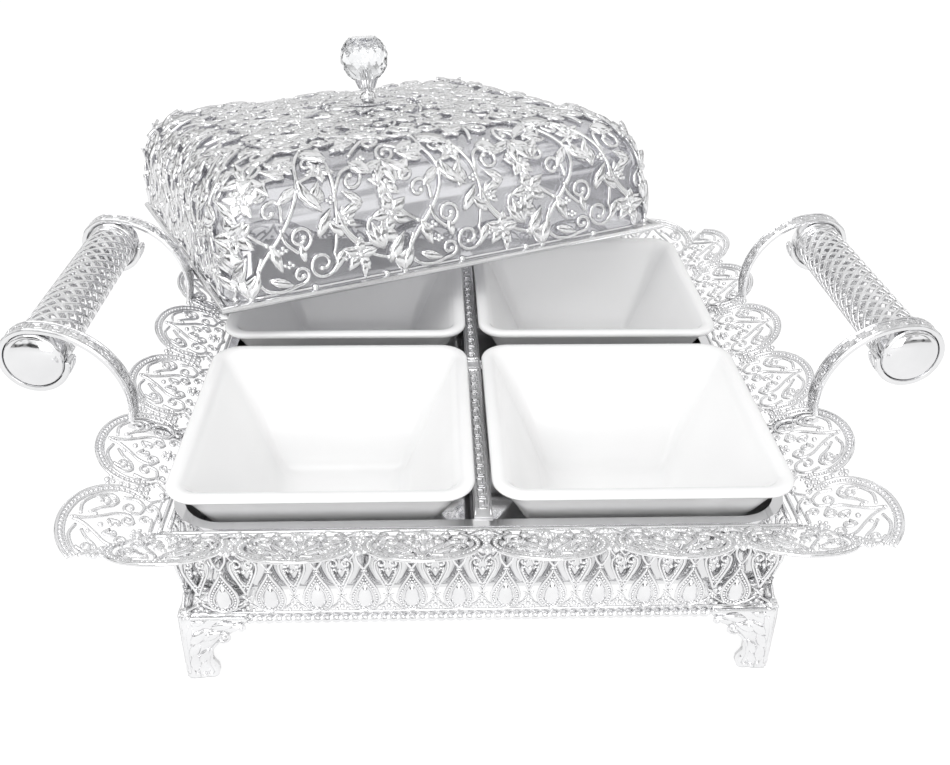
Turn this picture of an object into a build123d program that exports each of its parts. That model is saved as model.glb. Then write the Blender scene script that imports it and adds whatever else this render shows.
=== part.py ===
from build123d import *
import os
from math import atan2, cos, degrees, radians, sin, sqrt, tan

# Square serving candy box: a polished pan on four cast feet, a cast openwork frieze and a
# scalloped lace flange on each side, two lattice handles, a divider cross, four porcelain
# bowls, and a clear dome lid in a scrollwork cage. Millimetres, floor at z = 0, tray centred.

# Pan
pan_side = 262.0
pan_wall = 1.6
pan_corner_round = 20.0
pan_bottom_round = 14.0
pan_floor_z = 42.0
pan_rim_z = 87.0
pan_rim_width = 3.0
pan_rim_thick = 1.6

# Frieze panels: upright drops between inverted hearts
frieze_thick = 3.0
frieze_bottom_z = 38.0
frieze_bar = 3.2
frieze_pitch = 21.2
frieze_drops = 12
drop_radius = 6.0
drop_length = 21.0
drop_up = 1.6
cabochon_radius = 3.4
cabochon_proud = 0.8
drop_ring_radius = 3.2
drop_ring_hole = 1.6
heart_lobe = 3.4
heart_point_up = 11.0
heart_top_up = 30.4
palmette_width = 3.2
rosette_radius = 2.8
rosette_up = 8.3
fan_half_width = 7.0

# Rope moulding under the frieze
rope_diameter = 4.8

# Lace flange
lace_width = 41.0
lace_rise = 17.0
lace_thick = 2.0
lace_band = 9.0
lace_wire = 3.4
lobes_per_side = 4
front_lobe_pitch = 51.0
side_lobe_pitch = 56.0
lobe_depth = 11.0
corner_lobe_radius = 42.0
lobe_ring_radius = 8.5
lobe_ring_hole = 5.0

# Feet
foot_wing = 42.0
foot_thick = 6.0
foot_toe = 12.0
foot_lug = 26.0
foot_lug_thick = 8.0
foot_screw_inset = 5.0
foot_screw_radius = 2.0
foot_screw_head = 4.0
foot_screw_head_thick = 2.6

# Handles
grip_axis_x = 200.0
grip_axis_z = 131.0
grip_radius = 12.6
grip_wall = 2.2
grip_cells_round = 6
grip_cells_long = 9
grip_rib = 2.6
strap_width = 9.0
strap_thick = 2.0
strap_centre_y = 64.0
strap_bend_x = 163.0
strap_curl_degrees = 265.0
cap_radius = 13.4
cap_dome = 2.4
tie_rod_radius = 2.5
rivet_radius = 1.5
rivet_head_radius = 2.6
rivet_head_thick = 0.9

# Divider cross
divider_top_z = 88.0
divider_strip_width = 8.0
divider_strip_thick = 1.8
divider_web_thick = 1.6

# Bowls
bowl_side = 130.0
bowl_lip = 4.0
bowl_lip_thick = 4.0
bowl_base_side = 68.0
bowl_height = 60.0
bowl_wall = 3.2
bowl_corner_round = 10.0
bowl_base_round = 3.0
bowl_gap_x = 7.0
bowl_gap_y = 11.0

# Lid, in its own frame: rim plane at z = 0, centred
lid_side = 266.0
lid_wire = 4.0
dome_wall = 2.4
dome_top = 71.5
dome_straight = 38.0
dome_lean = 3.0
dome_shoulder = 36.0
dome_shoulder_drop = 4.5
dome_flat = 26.0
cage_thick = 2.6
scroll_width = 3.0
scroll_bays = 4
cage_split = 66.0
lid_fit = 0.3
dome_bottom = 0.5
cage_gap = 0.2

# Where the lid lies askew: the point of its left rim that leans on a handle strap, how far
# behind the lid's middle that is, and its turn and tips
lid_contact = (-158.7, 64.0, 111.8)
lid_contact_back = -51.5
lid_turn = 23.05
lid_tip_back = 7.84
lid_tip_side = 0.78

# Knob
knob_ball_radius = 15.0
knob_ball_facets = 12
ball_belts = (-55, -20, 20, 55)
knob_collar_radius = 7.6
knob_collar_height = 6.0
knob_stem_height = 9.0
knob_flange_radius = 12.0
knob_stud_radius = 2.5
knob_nut_width = 10.0
knob_nut_height = 5.0
knob_washer_radius = 8.0
knob_washer_thick = 1.2

# Clearances
seat = 0.2
pin_clearance = 0.1

os.makedirs("parts", exist_ok=True)


def save(part, label):
    part.label = label
    export_step(part, f"parts/{label}.step")


sides = {"front": 0, "right": 90, "back": 180, "left": 270}
corners = {"front_right": 0, "back_right": 90, "back_left": 180, "front_left": 270}

pan_half = pan_side / 2
pan_inner_half = pan_half - pan_wall
floor_top_z = pan_floor_z + pan_wall
rim_half = pan_half + pan_rim_width
wall_face = pan_half + seat
frieze_face = wall_face + frieze_thick


def side_plane(angle, distance, height, slope=0.0):
    """Sketch plane on one side of the tray: x along the side, y up the face or out along
    the slope."""
    outward = Vector(0, -1, 0).rotate(Axis.Z, angle)
    along = Vector(-1, 0, 0).rotate(Axis.Z, angle)
    if slope:
        normal = outward * -sin(radians(slope)) + Vector(0, 0, 1) * cos(radians(slope))
        return Plane(origin=outward * distance + Vector(0, 0, height), x_dir=along, z_dir=normal)
    return Plane(origin=outward * distance + Vector(0, 0, height), x_dir=along * -1, z_dir=outward)


# Pan: one deep pressing with rounded corners and a narrow turned-out rim
screw_place = pan_half - pan_bottom_round - foot_screw_inset
with BuildPart() as pan:
    with BuildSketch(Plane.XY.offset(pan_floor_z)):
        RectangleRounded(pan_side, pan_side, pan_corner_round)
    extrude(amount=pan_rim_z - pan_floor_z)
    fillet(pan.faces().sort_by(Axis.Z)[0].edges(), pan_bottom_round)
    offset(amount=-pan_wall, openings=pan.faces().sort_by(Axis.Z)[-1])
    with BuildSketch(Plane.XY.offset(pan_rim_z - pan_rim_thick)):
        RectangleRounded(2 * rim_half, 2 * rim_half, pan_corner_round + pan_rim_width)
        RectangleRounded(2 * pan_inner_half, 2 * pan_inner_half, pan_corner_round - pan_wall,
                         mode=Mode.SUBTRACT)
    extrude(amount=pan_rim_thick)
    with GridLocations(2 * screw_place, 2 * screw_place, 2, 2):
        Cylinder(foot_screw_radius + pin_clearance, 3 * pan_floor_z, mode=Mode.SUBTRACT)
save(pan.part, "pan")

# Frieze motif outlines, x about the motif's own middle, y up from the panel's bottom edge
frieze_height = pan_rim_z - pan_rim_thick - seat - frieze_bottom_z


def teardrop(radius, length, centre_up):
    """Round at the bottom, running to a point at the top."""
    point = length - radius
    with BuildSketch() as drop:
        with Locations((0, centre_up)):
            Circle(radius)
        Polygon((-radius * sqrt(1 - (radius / point) ** 2), centre_up + radius ** 2 / point),
                (radius * sqrt(1 - (radius / point) ** 2), centre_up + radius ** 2 / point),
                (0, centre_up + point), align=None)
    return drop.sketch


drop_centre_up = drop_up + drop_radius
drop_tip_up = drop_up + drop_length
with BuildSketch() as drop_motif:
    add(teardrop(drop_radius, drop_length, drop_centre_up))
    with Locations((0, drop_tip_up + drop_ring_radius - 1)):
        Circle(drop_ring_radius)
        Circle(drop_ring_hole, mode=Mode.SUBTRACT)
    with Locations((0, frieze_height)):
        Rectangle(frieze_bar / 2, frieze_height - drop_tip_up - 1.5 * drop_ring_radius,
                  align=(Align.CENTER, Align.MAX))

cabochon = teardrop(cabochon_radius, drop_length * cabochon_radius / drop_radius, drop_centre_up)

heart_lobe_up = heart_top_up - heart_lobe
with BuildSketch() as heart_motif:
    with Locations((-heart_lobe, heart_lobe_up), (heart_lobe, heart_lobe_up)):
        Circle(heart_lobe)
    Polygon((-2 * heart_lobe, heart_lobe_up), (2 * heart_lobe, heart_lobe_up), (0, heart_point_up),
            align=None)
    with Locations((0, rosette_up)):
        Circle(rosette_radius)
    Polygon((0, rosette_up), (fan_half_width, frieze_bar / 2), (-fan_half_width, frieze_bar / 2),
            align=None)
    with Locations((0, (heart_lobe_up + frieze_height) / 2)):
        Ellipse(palmette_width, (frieze_height - heart_lobe_up) / 2)

# Frieze panels, cast openwork standing on the pan's outer wall
with BuildSketch() as frieze_outline:
    with Locations((0, frieze_height - frieze_bar / 2), (0, frieze_bar / 2)):
        Rectangle(pan_side, frieze_bar)
    with GridLocations(frieze_pitch, 0, frieze_drops, 1):
        add(drop_motif.sketch)
    with GridLocations(frieze_pitch, 0, frieze_drops + 1, 1):
        add(heart_motif.sketch)
    with Locations((0, frieze_height / 2)):
        Rectangle(pan_side, frieze_height, mode=Mode.INTERSECT)

for side, angle in sides.items():
    with BuildPart() as frieze:
        with BuildSketch(side_plane(angle, wall_face, frieze_bottom_z)):
            add(frieze_outline.sketch)
        extrude(amount=frieze_thick)
        with BuildSketch(side_plane(angle, wall_face, frieze_bottom_z)):
            with GridLocations(frieze_pitch, 0, frieze_drops, 1):
                add(cabochon)
        extrude(amount=frieze_thick + cabochon_proud)
    save(frieze.part, f"frieze_{side}")

# Rope mouldings: a round bar under each frieze panel, from foot to foot
rope_radius = rope_diameter / 2
wing_face = frieze_face + 1
rope_half = wing_face - foot_wing
rope_z = frieze_bottom_z - rope_radius - pin_clearance
for side, angle in sides.items():
    with BuildPart() as rope:
        with BuildSketch(side_plane(angle + 90, -rope_half + seat, rope_z)):
            with Locations((-wall_face - rope_radius, 0)):
                Circle(rope_radius)
        extrude(amount=2 * (rope_half - seat))
    save(rope.part, f"rope_moulding_{side}")

# Lace flange: a sloping plate of round lobes with ringed openings, mitred at the corners
lace_slope = degrees(atan2(lace_rise, lace_width))
lace_reach = sqrt(lace_rise ** 2 + lace_width ** 2)
lace_lean = lace_thick * sin(radians(lace_slope))
lace_inner = rim_half + seat + lace_lean
lace_cos = cos(radians(lace_slope))


def lace_outline(pitch, strapped):
    """Openwork outline of one side, x along the side, y out from the rim."""
    half_pitch = pitch / 2
    lobe_radius = (half_pitch ** 2 + lobe_depth ** 2) / (2 * lobe_depth)
    lobe_centre = lace_reach - lobe_radius
    corner_x = lace_inner + (lace_width - corner_lobe_radius)
    corner_y = lace_reach - corner_lobe_radius
    ring_y = (lace_band + lace_reach - lace_wire) / 2
    with BuildSketch() as opening:
        with Locations((0, lobe_centre)):
            Circle(lobe_radius - lace_wire)
        with Locations((0, lace_reach / 2 + lace_band / 2)):
            Rectangle(pitch - lace_wire, lace_reach - lace_band, mode=Mode.INTERSECT)
        Rectangle(lace_wire / 2, 3 * lace_reach, mode=Mode.SUBTRACT)
        with Locations((0, ring_y)):
            Circle(lobe_ring_radius, mode=Mode.SUBTRACT)
            Circle(lobe_ring_hole)
    with BuildSketch() as outline:
        with Locations((0, lace_reach / 4)):
            Rectangle(2 * corner_x, lace_reach / 2)
        with GridLocations(pitch, 0, lobes_per_side, 1):
            with Locations((0, lobe_centre)):
                Circle(lobe_radius)
        with Locations((corner_x, corner_y), (-corner_x, corner_y)):
            Circle(corner_lobe_radius)
        mitre_in = lace_inner - lace_lean - seat
        mitre_out = mitre_in + lace_reach * lace_cos
        Polygon((-mitre_in, 0), (mitre_in, 0), (mitre_out, lace_reach), (-mitre_out, lace_reach),
                align=None, mode=Mode.INTERSECT)
        with GridLocations(pitch, 0, lobes_per_side, 1):
            add(opening.sketch, mode=Mode.SUBTRACT)
        with Locations((corner_x, ring_y), (-corner_x, ring_y)):
            Circle(lobe_ring_radius + lace_wire, mode=Mode.SUBTRACT)
        with Locations((corner_x, ring_y), (-corner_x, ring_y)):
            Circle(lobe_ring_radius)
            Circle(lobe_ring_hole, mode=Mode.SUBTRACT)
            Rectangle(2 * (lobe_ring_radius + lace_wire), lace_wire / 2)
        if strapped:
            slot_start = (strap_bend_x - strap_thick - lace_inner) / lace_cos
            with Locations((strap_centre_y, 0), (-strap_centre_y, 0)):
                with Locations((0, slot_start)):
                    Rectangle(strap_width + 2 * seat, lace_reach, align=(Align.CENTER, Align.MIN),
                              mode=Mode.SUBTRACT)
                with Locations((0, lace_band / 2)):
                    Circle(rivet_radius + pin_clearance, mode=Mode.SUBTRACT)
    return outline.sketch


lace_outlines = {"front": lace_outline(front_lobe_pitch, False),
                 "right": lace_outline(side_lobe_pitch, True)}
lace_outlines |= {"back": lace_outlines["front"], "left": lace_outlines["right"]}
for side, angle in sides.items():
    with BuildPart() as lace:
        with BuildSketch(side_plane(angle, lace_inner, pan_rim_z - lace_thick, lace_slope)):
            add(lace_outlines[side])
        extrude(amount=lace_thick)
    save(lace.part, f"lace_{side}")

# Feet: two leaf wings along the sides meeting over a toe, and a lug screwed under the pan
foot_top_z = frieze_bottom_z - pin_clearance
lug_top_z = pan_floor_z - pin_clearance
lug_bottom_z = lug_top_z - foot_lug_thick
front_wing = Plane((wing_face, -wing_face, 0), x_dir=(-1, 0, 0), z_dir=(0, 1, 0))
side_wing = Plane((wing_face, -wing_face, 0), x_dir=(0, 1, 0), z_dir=(1, 0, 0))
for corner, angle in corners.items():
    with BuildPart() as foot:
        for plane, inward in ((front_wing, foot_thick), (side_wing, -foot_thick)):
            with BuildSketch(plane):
                with BuildLine():
                    Polyline((foot_toe, 0), (0, 0), (0, foot_top_z), (foot_wing, foot_top_z),
                             (foot_wing, foot_top_z - foot_thick))
                    ThreePointArc((foot_wing, foot_top_z - foot_thick),
                                  (0.74 * foot_wing, 0.66 * foot_top_z),
                                  (0.6 * foot_wing, 0.56 * foot_top_z))
                    ThreePointArc((0.6 * foot_wing, 0.56 * foot_top_z),
                                  (0.36 * foot_wing, 0.36 * foot_top_z), (foot_toe, 0))
                make_face()
            extrude(amount=inward)
        with BuildSketch(Plane.XY.offset(lug_bottom_z)):
            with Locations((pan_half, -pan_half)):
                Rectangle(foot_lug, foot_lug, align=(Align.MAX, Align.MIN))
        extrude(amount=foot_lug_thick)
        with Locations((screw_place, -screw_place, lug_bottom_z)):
            Cylinder(foot_screw_radius + pin_clearance, 3 * foot_lug_thick, mode=Mode.SUBTRACT)
    save(foot.part.rotate(Axis.Z, angle), f"foot_{corner}")

with BuildPart() as foot_screws:
    with GridLocations(2 * screw_place, 2 * screw_place, 2, 2):
        with Locations((0, 0, lug_bottom_z - pin_clearance)):
            Cylinder(foot_screw_head, foot_screw_head_thick,
                     align=(Align.CENTER, Align.CENTER, Align.MAX))
            Cylinder(foot_screw_radius, floor_top_z - lug_bottom_z,
                     align=(Align.CENTER, Align.CENTER, Align.MIN))
save(foot_screws.part, "foot_screws")

# Handle straps: flat under the lace, up through a notch in its edge, and curled round a cap
strap_drop = strap_thick / 2 + seat
under_lace = Vector(lace_inner, pan_rim_z - lace_thick)
slope_out = Vector(lace_cos, sin(radians(lace_slope)))
slope_down = Vector(slope_out.Y, -slope_out.X)
strap_start = under_lace + slope_out * 1.5 + slope_down * strap_drop
strap_flat = (strap_bend_x - strap_start.X) / lace_cos
strap_bend = strap_start + slope_out * strap_flat
curl_radius = cap_radius + seat + strap_thick / 2
curl_top = Vector(grip_axis_x, grip_axis_z + curl_radius)
rivet_place = under_lace + slope_out * (lace_band / 2)

for end, place in {"front": -strap_centre_y, "back": strap_centre_y}.items():
    with BuildPart() as strap:
        with BuildSketch(Plane.XZ.offset(-place)) as strap_profile:
            with BuildLine():
                Line(strap_start, strap_bend)
                TangentArc(curl_top, strap_bend, tangent=(-1, 0))
                CenterArc((grip_axis_x, grip_axis_z), curl_radius, 90, -strap_curl_degrees)
            trace(line_width=strap_thick)
            with Locations(strap_bend):
                Circle(strap_thick / 2)
        extrude(amount=strap_width / 2, both=True)
        with Locations(Plane((rivet_place.X, place, rivet_place.Y),
                             z_dir=(-slope_out.Y, 0, slope_out.X))):
            Cylinder(rivet_radius + pin_clearance, 4 * strap_thick, mode=Mode.SUBTRACT)
    save(strap.part, f"handle_strap_right_{end}")
    opposite = "back" if end == "front" else "front"
    save(strap.part.rotate(Axis.Z, 180), f"handle_strap_left_{opposite}")

rivet_length = lace_thick + seat + strap_thick
with BuildPart() as rivets:
    for place in (-strap_centre_y, strap_centre_y):
        with Locations(Plane((rivet_place.X, place, rivet_place.Y),
                             z_dir=(-slope_out.Y, 0, slope_out.X))):
            with Locations((0, 0, lace_thick)):
                Cylinder(rivet_head_radius, rivet_head_thick,
                         align=(Align.CENTER, Align.CENTER, Align.MIN))
                Cylinder(rivet_radius, rivet_length, align=(Align.CENTER, Align.CENTER, Align.MAX))
            with Locations((0, 0, lace_thick - rivet_length)):
                Cylinder(rivet_head_radius, rivet_head_thick,
                         align=(Align.CENTER, Align.CENTER, Align.MAX))
    mirror(about=Plane.YZ)
save(rivets.part, "handle_rivets")

# Lattice grips: an openwork tube of crossing diamonds between the two curls, on a tie rod
grip_half = strap_centre_y - strap_width / 2 - seat
cell_pitch = 2 * grip_half / grip_cells_long
cell_side = (cell_pitch / sqrt(2)) - grip_rib
cell_rows = [(0, 0, (row - (grip_cells_long - 1) / 2) * cell_pitch) for row in range(grip_cells_long)]
between_rows = [(0, 0, (row + 1 - grip_cells_long / 2) * cell_pitch) for row in range(grip_cells_long - 1)]
for side, direction in {"right": 1, "left": -1}.items():
    grip_plane = Plane((direction * grip_axis_x, 0, grip_axis_z), z_dir=(0, 1, 0))
    with BuildPart(grip_plane) as grip:
        Cylinder(grip_radius, 2 * grip_half)
        Cylinder(grip_radius - grip_wall, 2 * grip_half, mode=Mode.SUBTRACT)
        for rows, turn in ((cell_rows, 0), (between_rows, 180 / grip_cells_round)):
            with Locations(*rows):
                with PolarLocations(grip_radius, grip_cells_round, start_angle=turn):
                    Box(4 * grip_wall, cell_side, cell_side, rotation=(45, 0, 0), mode=Mode.SUBTRACT)
    save(grip.part, f"grip_lattice_{side}")

    with BuildPart(grip_plane) as tie_rod:
        Cylinder(tie_rod_radius, 2 * strap_centre_y)
    save(tie_rod.part, f"grip_tie_rod_{side}")

    for end, way in {"front": -1, "back": 1}.items():
        cap_plane = Plane((direction * grip_axis_x, way * (strap_centre_y - strap_width / 2), grip_axis_z),
                          z_dir=(0, way, 0))
        with BuildPart(cap_plane) as cap:
            Cylinder(cap_radius, strap_width, align=(Align.CENTER, Align.CENTER, Align.MIN))
            with Locations((0, 0, strap_width)):
                Cone(cap_radius, cap_radius / 2, cap_dome, align=(Align.CENTER, Align.CENTER, Align.MIN))
            Cylinder(tie_rod_radius + pin_clearance, strap_width + 2 * pin_clearance, mode=Mode.SUBTRACT)
        save(cap.part, f"handle_cap_{side}_{end}")

# Divider cross: two flat strips on webs, halved into each other at the middle
divider_half = pan_inner_half - pin_clearance
web_height = divider_top_z - floor_top_z
half_lap_z = floor_top_z + web_height / 2
web_corner = max(pan_bottom_round - pan_wall, 1)


def divider_blank(plane):
    with BuildPart() as blank:
        with BuildSketch(plane) as web:
            with Locations((0, floor_top_z)):
                Rectangle(2 * divider_half, web_height, align=(Align.CENTER, Align.MIN))
            fillet(web.vertices().group_by(Axis.Z)[0], web_corner + pin_clearance)
        extrude(amount=divider_web_thick / 2, both=True)
        with BuildSketch(plane):
            with Locations((0, divider_top_z)):
                Rectangle(2 * divider_half, divider_strip_thick, align=(Align.CENTER, Align.MAX))
        extrude(amount=divider_strip_width / 2, both=True)
    return blank.part


slot_width = divider_web_thick + 2 * pin_clearance
with BuildPart() as divider_lengthwise:
    add(divider_blank(Plane.YZ))
    with Locations((0, 0, half_lap_z + pin_clearance)):
        Box(2 * divider_strip_width, slot_width, web_height,
            align=(Align.CENTER, Align.CENTER, Align.MAX), mode=Mode.SUBTRACT)
save(divider_lengthwise.part, "divider_lengthwise")

with BuildPart() as divider_crosswise:
    add(divider_blank(Plane.XZ))
    with Locations((0, 0, half_lap_z - pin_clearance)):
        Box(slot_width, 2 * divider_strip_width, web_height,
            align=(Align.CENTER, Align.CENTER, Align.MIN), mode=Mode.SUBTRACT)
    with Locations((0, 0, divider_top_z - divider_strip_thick - pin_clearance)):
        Box(divider_strip_width + 2 * pin_clearance, 2 * divider_strip_width, web_height,
            align=(Align.CENTER, Align.CENTER, Align.MIN), mode=Mode.SUBTRACT)
save(divider_crosswise.part, "divider_crosswise")

# Bowls: square, tapered, with a flat lip
bowl_x = (bowl_side + bowl_gap_x) / 2
bowl_y = (bowl_side + bowl_gap_y) / 2
bowl_base_z = floor_top_z + seat
lip_z = bowl_base_z + bowl_height - bowl_lip_thick
body_side = bowl_side - 2 * bowl_lip
bowl_places = {"front_left": (-bowl_x, -bowl_y), "front_right": (bowl_x, -bowl_y),
               "back_left": (-bowl_x, bowl_y), "back_right": (bowl_x, bowl_y)}
for name, place in bowl_places.items():
    with BuildPart() as bowl:
        with BuildSketch(Plane.XY.offset(bowl_base_z)):
            with Locations(place):
                RectangleRounded(bowl_base_side, bowl_base_side, bowl_corner_round)
        with BuildSketch(Plane.XY.offset(lip_z + bowl_lip_thick)):
            with Locations(place):
                RectangleRounded(body_side, body_side, bowl_corner_round)
        loft(ruled=True)
        chamfer(bowl.faces().sort_by(Axis.Z)[0].edges(), bowl_base_round)
        with BuildSketch(Plane.XY.offset(lip_z)):
            with Locations(place):
                RectangleRounded(bowl_side, bowl_side, bowl_corner_round + bowl_lip)
        extrude(amount=bowl_lip_thick)
        with BuildSketch(Plane.XY.offset(bowl_base_z + bowl_wall)):
            with Locations(place):
                RectangleRounded(bowl_base_side - 2 * bowl_wall, bowl_base_side - 2 * bowl_wall,
                                 bowl_corner_round - bowl_wall)
        with BuildSketch(Plane.XY.offset(lip_z + bowl_lip_thick)):
            with Locations(place):
                RectangleRounded(body_side - 2 * bowl_wall, body_side - 2 * bowl_wall,
                                 bowl_corner_round - bowl_wall)
        loft(ruled=True, mode=Mode.SUBTRACT)
    save(bowl.part, f"bowl_{name}")

# Lid: everything is drawn in the lid's own frame and laid in place when it is written
lid_pose = (Pos(*lid_contact) * Rot(Z=lid_turn) * Rot(X=-lid_tip_back) * Rot(Y=-lid_tip_side)
            * Pos(lid_side / 2, -lid_contact_back, 0))
wire_radius = lid_wire / 2
wire_half = lid_side / 2 - wire_radius
dome_half = wire_half - wire_radius - lid_fit


def save_on_lid(part, label):
    save(part.moved(lid_pose), label)


def dome_block(grow, bottom):
    """Solid square vault, larger all round by grow, standing on z = bottom."""
    half = dome_half + grow
    wall_top = (half - dome_lean, dome_straight)
    shoulder_end = (dome_half - dome_shoulder, dome_top - dome_shoulder_drop + grow)
    with BuildPart() as block:
        for plane, mode in ((Plane.XZ, Mode.ADD), (Plane.YZ, Mode.INTERSECT)):
            with BuildSketch(plane):
                with BuildLine():
                    Line((0, bottom), (half, bottom))
                    Line((half, bottom), wall_top)
                    TangentArc(wall_top, shoulder_end, tangent=(-dome_lean, dome_straight))
                    Polyline(shoulder_end, (dome_flat, dome_top + grow), (0, dome_top + grow))
                    mirror(about=Plane.YZ)
                make_face()
            extrude(amount=lid_side, both=True, mode=mode)
    return block.part


with BuildPart() as lid_dome:
    add(dome_block(0, dome_bottom))
    add(dome_block(-dome_wall, dome_bottom), mode=Mode.SUBTRACT)
    Cylinder(knob_stud_radius + pin_clearance, 3 * dome_top, mode=Mode.SUBTRACT)
save_on_lid(lid_dome.part, "lid_dome")

with BuildPart() as lid_rim_wire:
    with BuildLine(Plane.XY.offset(wire_radius)) as wire_path:
        Polyline((0, -wire_half), (wire_half, -wire_half), (wire_half, wire_half),
                 (-wire_half, wire_half), (-wire_half, -wire_half), (0, -wire_half))
    with BuildSketch(Plane((0, -wire_half, wire_radius), z_dir=(1, 0, 0))):
        Circle(wire_radius)
    sweep(transition=Transition.RIGHT)
save_on_lid(lid_rim_wire.part, "lid_rim_wire")

# Cage: scrollwork cut from a thin skin over the dome, four sides and a top
cage_bottom = lid_wire + 0.05
with BuildPart() as cage_skin:
    add(dome_block(cage_gap + cage_thick, cage_bottom))
    add(dome_block(cage_gap, cage_bottom), mode=Mode.SUBTRACT)

bay = 2 * (dome_half - dome_lean) / scroll_bays
with BuildSketch() as scroll_bay:
    with Locations((0.16 * bay, 0.26 * cage_split)):
        Circle(0.2 * bay)
        Circle(0.2 * bay - scroll_width, mode=Mode.SUBTRACT)
    with Locations((-0.2 * bay, 0.62 * cage_split)):
        Circle(0.18 * bay)
        Circle(0.18 * bay - scroll_width, mode=Mode.SUBTRACT)
    with Locations((0.22 * bay, 0.74 * cage_split)):
        Circle(0.13 * bay)
    with BuildLine():
        ThreePointArc((-0.46 * bay, 0), (-0.05 * bay, 0.45 * cage_split), (-0.3 * bay, cage_split))
        ThreePointArc((0.46 * bay, 0), (0.02 * bay, 0.5 * cage_split), (0.36 * bay, cage_split))
    trace(line_width=scroll_width)

with BuildPart() as cage_side:
    with BuildSketch(Plane.XZ) as side_scrolls:
        with GridLocations(bay, 0, scroll_bays, 1):
            add(scroll_bay.sketch)
        with Locations((0, cage_bottom)):
            Rectangle(2 * dome_half, scroll_width, align=(Align.CENTER, Align.MIN))
        with Locations((0, cage_split)):
            Rectangle(2 * dome_half, scroll_width, align=(Align.CENTER, Align.MAX))
    extrude(amount=lid_side)
    add(cage_skin.part, mode=Mode.INTERSECT)
    with BuildSketch():
        Polygon((0, -pin_clearance), (-lid_side, -lid_side - pin_clearance),
                (lid_side, -lid_side - pin_clearance), align=None)
    extrude(amount=cage_split, mode=Mode.INTERSECT)
for side, angle in sides.items():
    save_on_lid(cage_side.part.rotate(Axis.Z, angle), f"lid_scrolls_{side}")

top_half = dome_half - dome_shoulder
with BuildPart() as cage_top:
    with BuildSketch(Plane.XY.offset(cage_split + pin_clearance)):
        Rectangle(2.1 * top_half, 2.1 * top_half)
        Rectangle(2.1 * top_half - 2 * scroll_width, 2.1 * top_half - 2 * scroll_width,
                  mode=Mode.SUBTRACT)
        Circle(knob_flange_radius + 2 * scroll_width)
        for reach, turn in ((1.04 * top_half, 0), (1.04 * sqrt(2) * top_half, 45)):
            with BuildSketch(mode=Mode.PRIVATE) as spray:
                with BuildLine():
                    ThreePointArc((knob_flange_radius, 0), (0.3 * reach, 0.07 * reach),
                                  (0.55 * reach, 0))
                    ThreePointArc((0.55 * reach, 0), (0.8 * reach, -0.07 * reach), (reach, 0))
                trace(line_width=scroll_width)
                with Locations((0.55 * reach, 0.14 * top_half), (0.62 * reach, -0.14 * top_half)):
                    Circle(0.15 * top_half)
                    Circle(0.15 * top_half - scroll_width, mode=Mode.SUBTRACT)
                with Locations((0.3 * reach, 0.05 * reach)):
                    Ellipse(0.16 * top_half, 0.07 * top_half)
                with Locations((0.8 * reach, -0.05 * reach)):
                    Ellipse(0.2 * top_half, 0.08 * top_half)
            with PolarLocations(0, 4, start_angle=turn):
                add(spray.sketch)
    extrude(amount=dome_top)
    add(cage_skin.part, mode=Mode.INTERSECT)
    Cylinder(knob_stud_radius + pin_clearance, 3 * dome_top, mode=Mode.SUBTRACT)
save_on_lid(cage_top.part, "lid_scrolls_top")

# Knob: turned stem with its stud, a collar, a faceted ball, and the washer and nut inside
knob_z = dome_top + cage_gap + cage_thick + pin_clearance
collar_z = knob_z + knob_stem_height
ball_z = collar_z + knob_collar_height
dome_under_z = dome_top - dome_wall
centre_up = (Align.CENTER, Align.CENTER, Align.MIN)
centre_down = (Align.CENTER, Align.CENTER, Align.MAX)
stud_up = knob_ball_radius / 2
with BuildPart() as knob_stem:
    with BuildSketch(Plane.XZ):
        with BuildLine():
            Polyline((0, dome_under_z - knob_washer_thick - 1.4 * knob_nut_height),
                     (knob_stud_radius, dome_under_z - knob_washer_thick - 1.4 * knob_nut_height),
                     (knob_stud_radius, knob_z), (knob_flange_radius, knob_z),
                     (knob_flange_radius, knob_z + 0.15 * knob_stem_height))
            ThreePointArc((knob_flange_radius, knob_z + 0.15 * knob_stem_height),
                          (0.42 * knob_flange_radius, knob_z + 0.5 * knob_stem_height),
                          (0.36 * knob_flange_radius, collar_z))
            Polyline((0.36 * knob_flange_radius, collar_z), (knob_stud_radius, collar_z),
                     (knob_stud_radius, ball_z + stud_up), (0, ball_z + stud_up),
                     (0, dome_under_z - knob_washer_thick - 1.4 * knob_nut_height))
        make_face()
    revolve(axis=Axis.Z)
save_on_lid(knob_stem.part, "knob_stem")

with BuildPart() as knob_collar:
    with BuildSketch(Plane.XZ):
        with BuildLine():
            Polyline((knob_stud_radius + pin_clearance, collar_z + pin_clearance),
                     (0.7 * knob_collar_radius, collar_z + pin_clearance),
                     (knob_collar_radius, collar_z + knob_collar_height - pin_clearance),
                     (knob_stud_radius + pin_clearance, collar_z + knob_collar_height - pin_clearance),
                     close=True)
        make_face()
    revolve(axis=Axis.Z)
save_on_lid(knob_collar.part, "knob_collar")

ball_bottom = ball_z - knob_ball_radius * sin(radians(ball_belts[0]))
with BuildPart() as crystal_ball:
    for belt in ball_belts:
        with BuildSketch(Plane.XY.offset(ball_bottom + knob_ball_radius * sin(radians(belt)))):
            RegularPolygon(knob_ball_radius * cos(radians(belt)), knob_ball_facets)
    loft(ruled=True)
    with Locations((0, 0, ball_z)):
        Cylinder(knob_stud_radius + pin_clearance, stud_up + pin_clearance, align=centre_up,
                 mode=Mode.SUBTRACT)
save_on_lid(crystal_ball.part, "crystal_ball")

with BuildPart() as knob_washer:
    with Locations((0, 0, dome_under_z - pin_clearance)):
        Cylinder(knob_washer_radius, knob_washer_thick, align=centre_down)
        Cylinder(knob_stud_radius + pin_clearance, 3 * knob_washer_thick, mode=Mode.SUBTRACT)
save_on_lid(knob_washer.part, "knob_washer")

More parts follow.
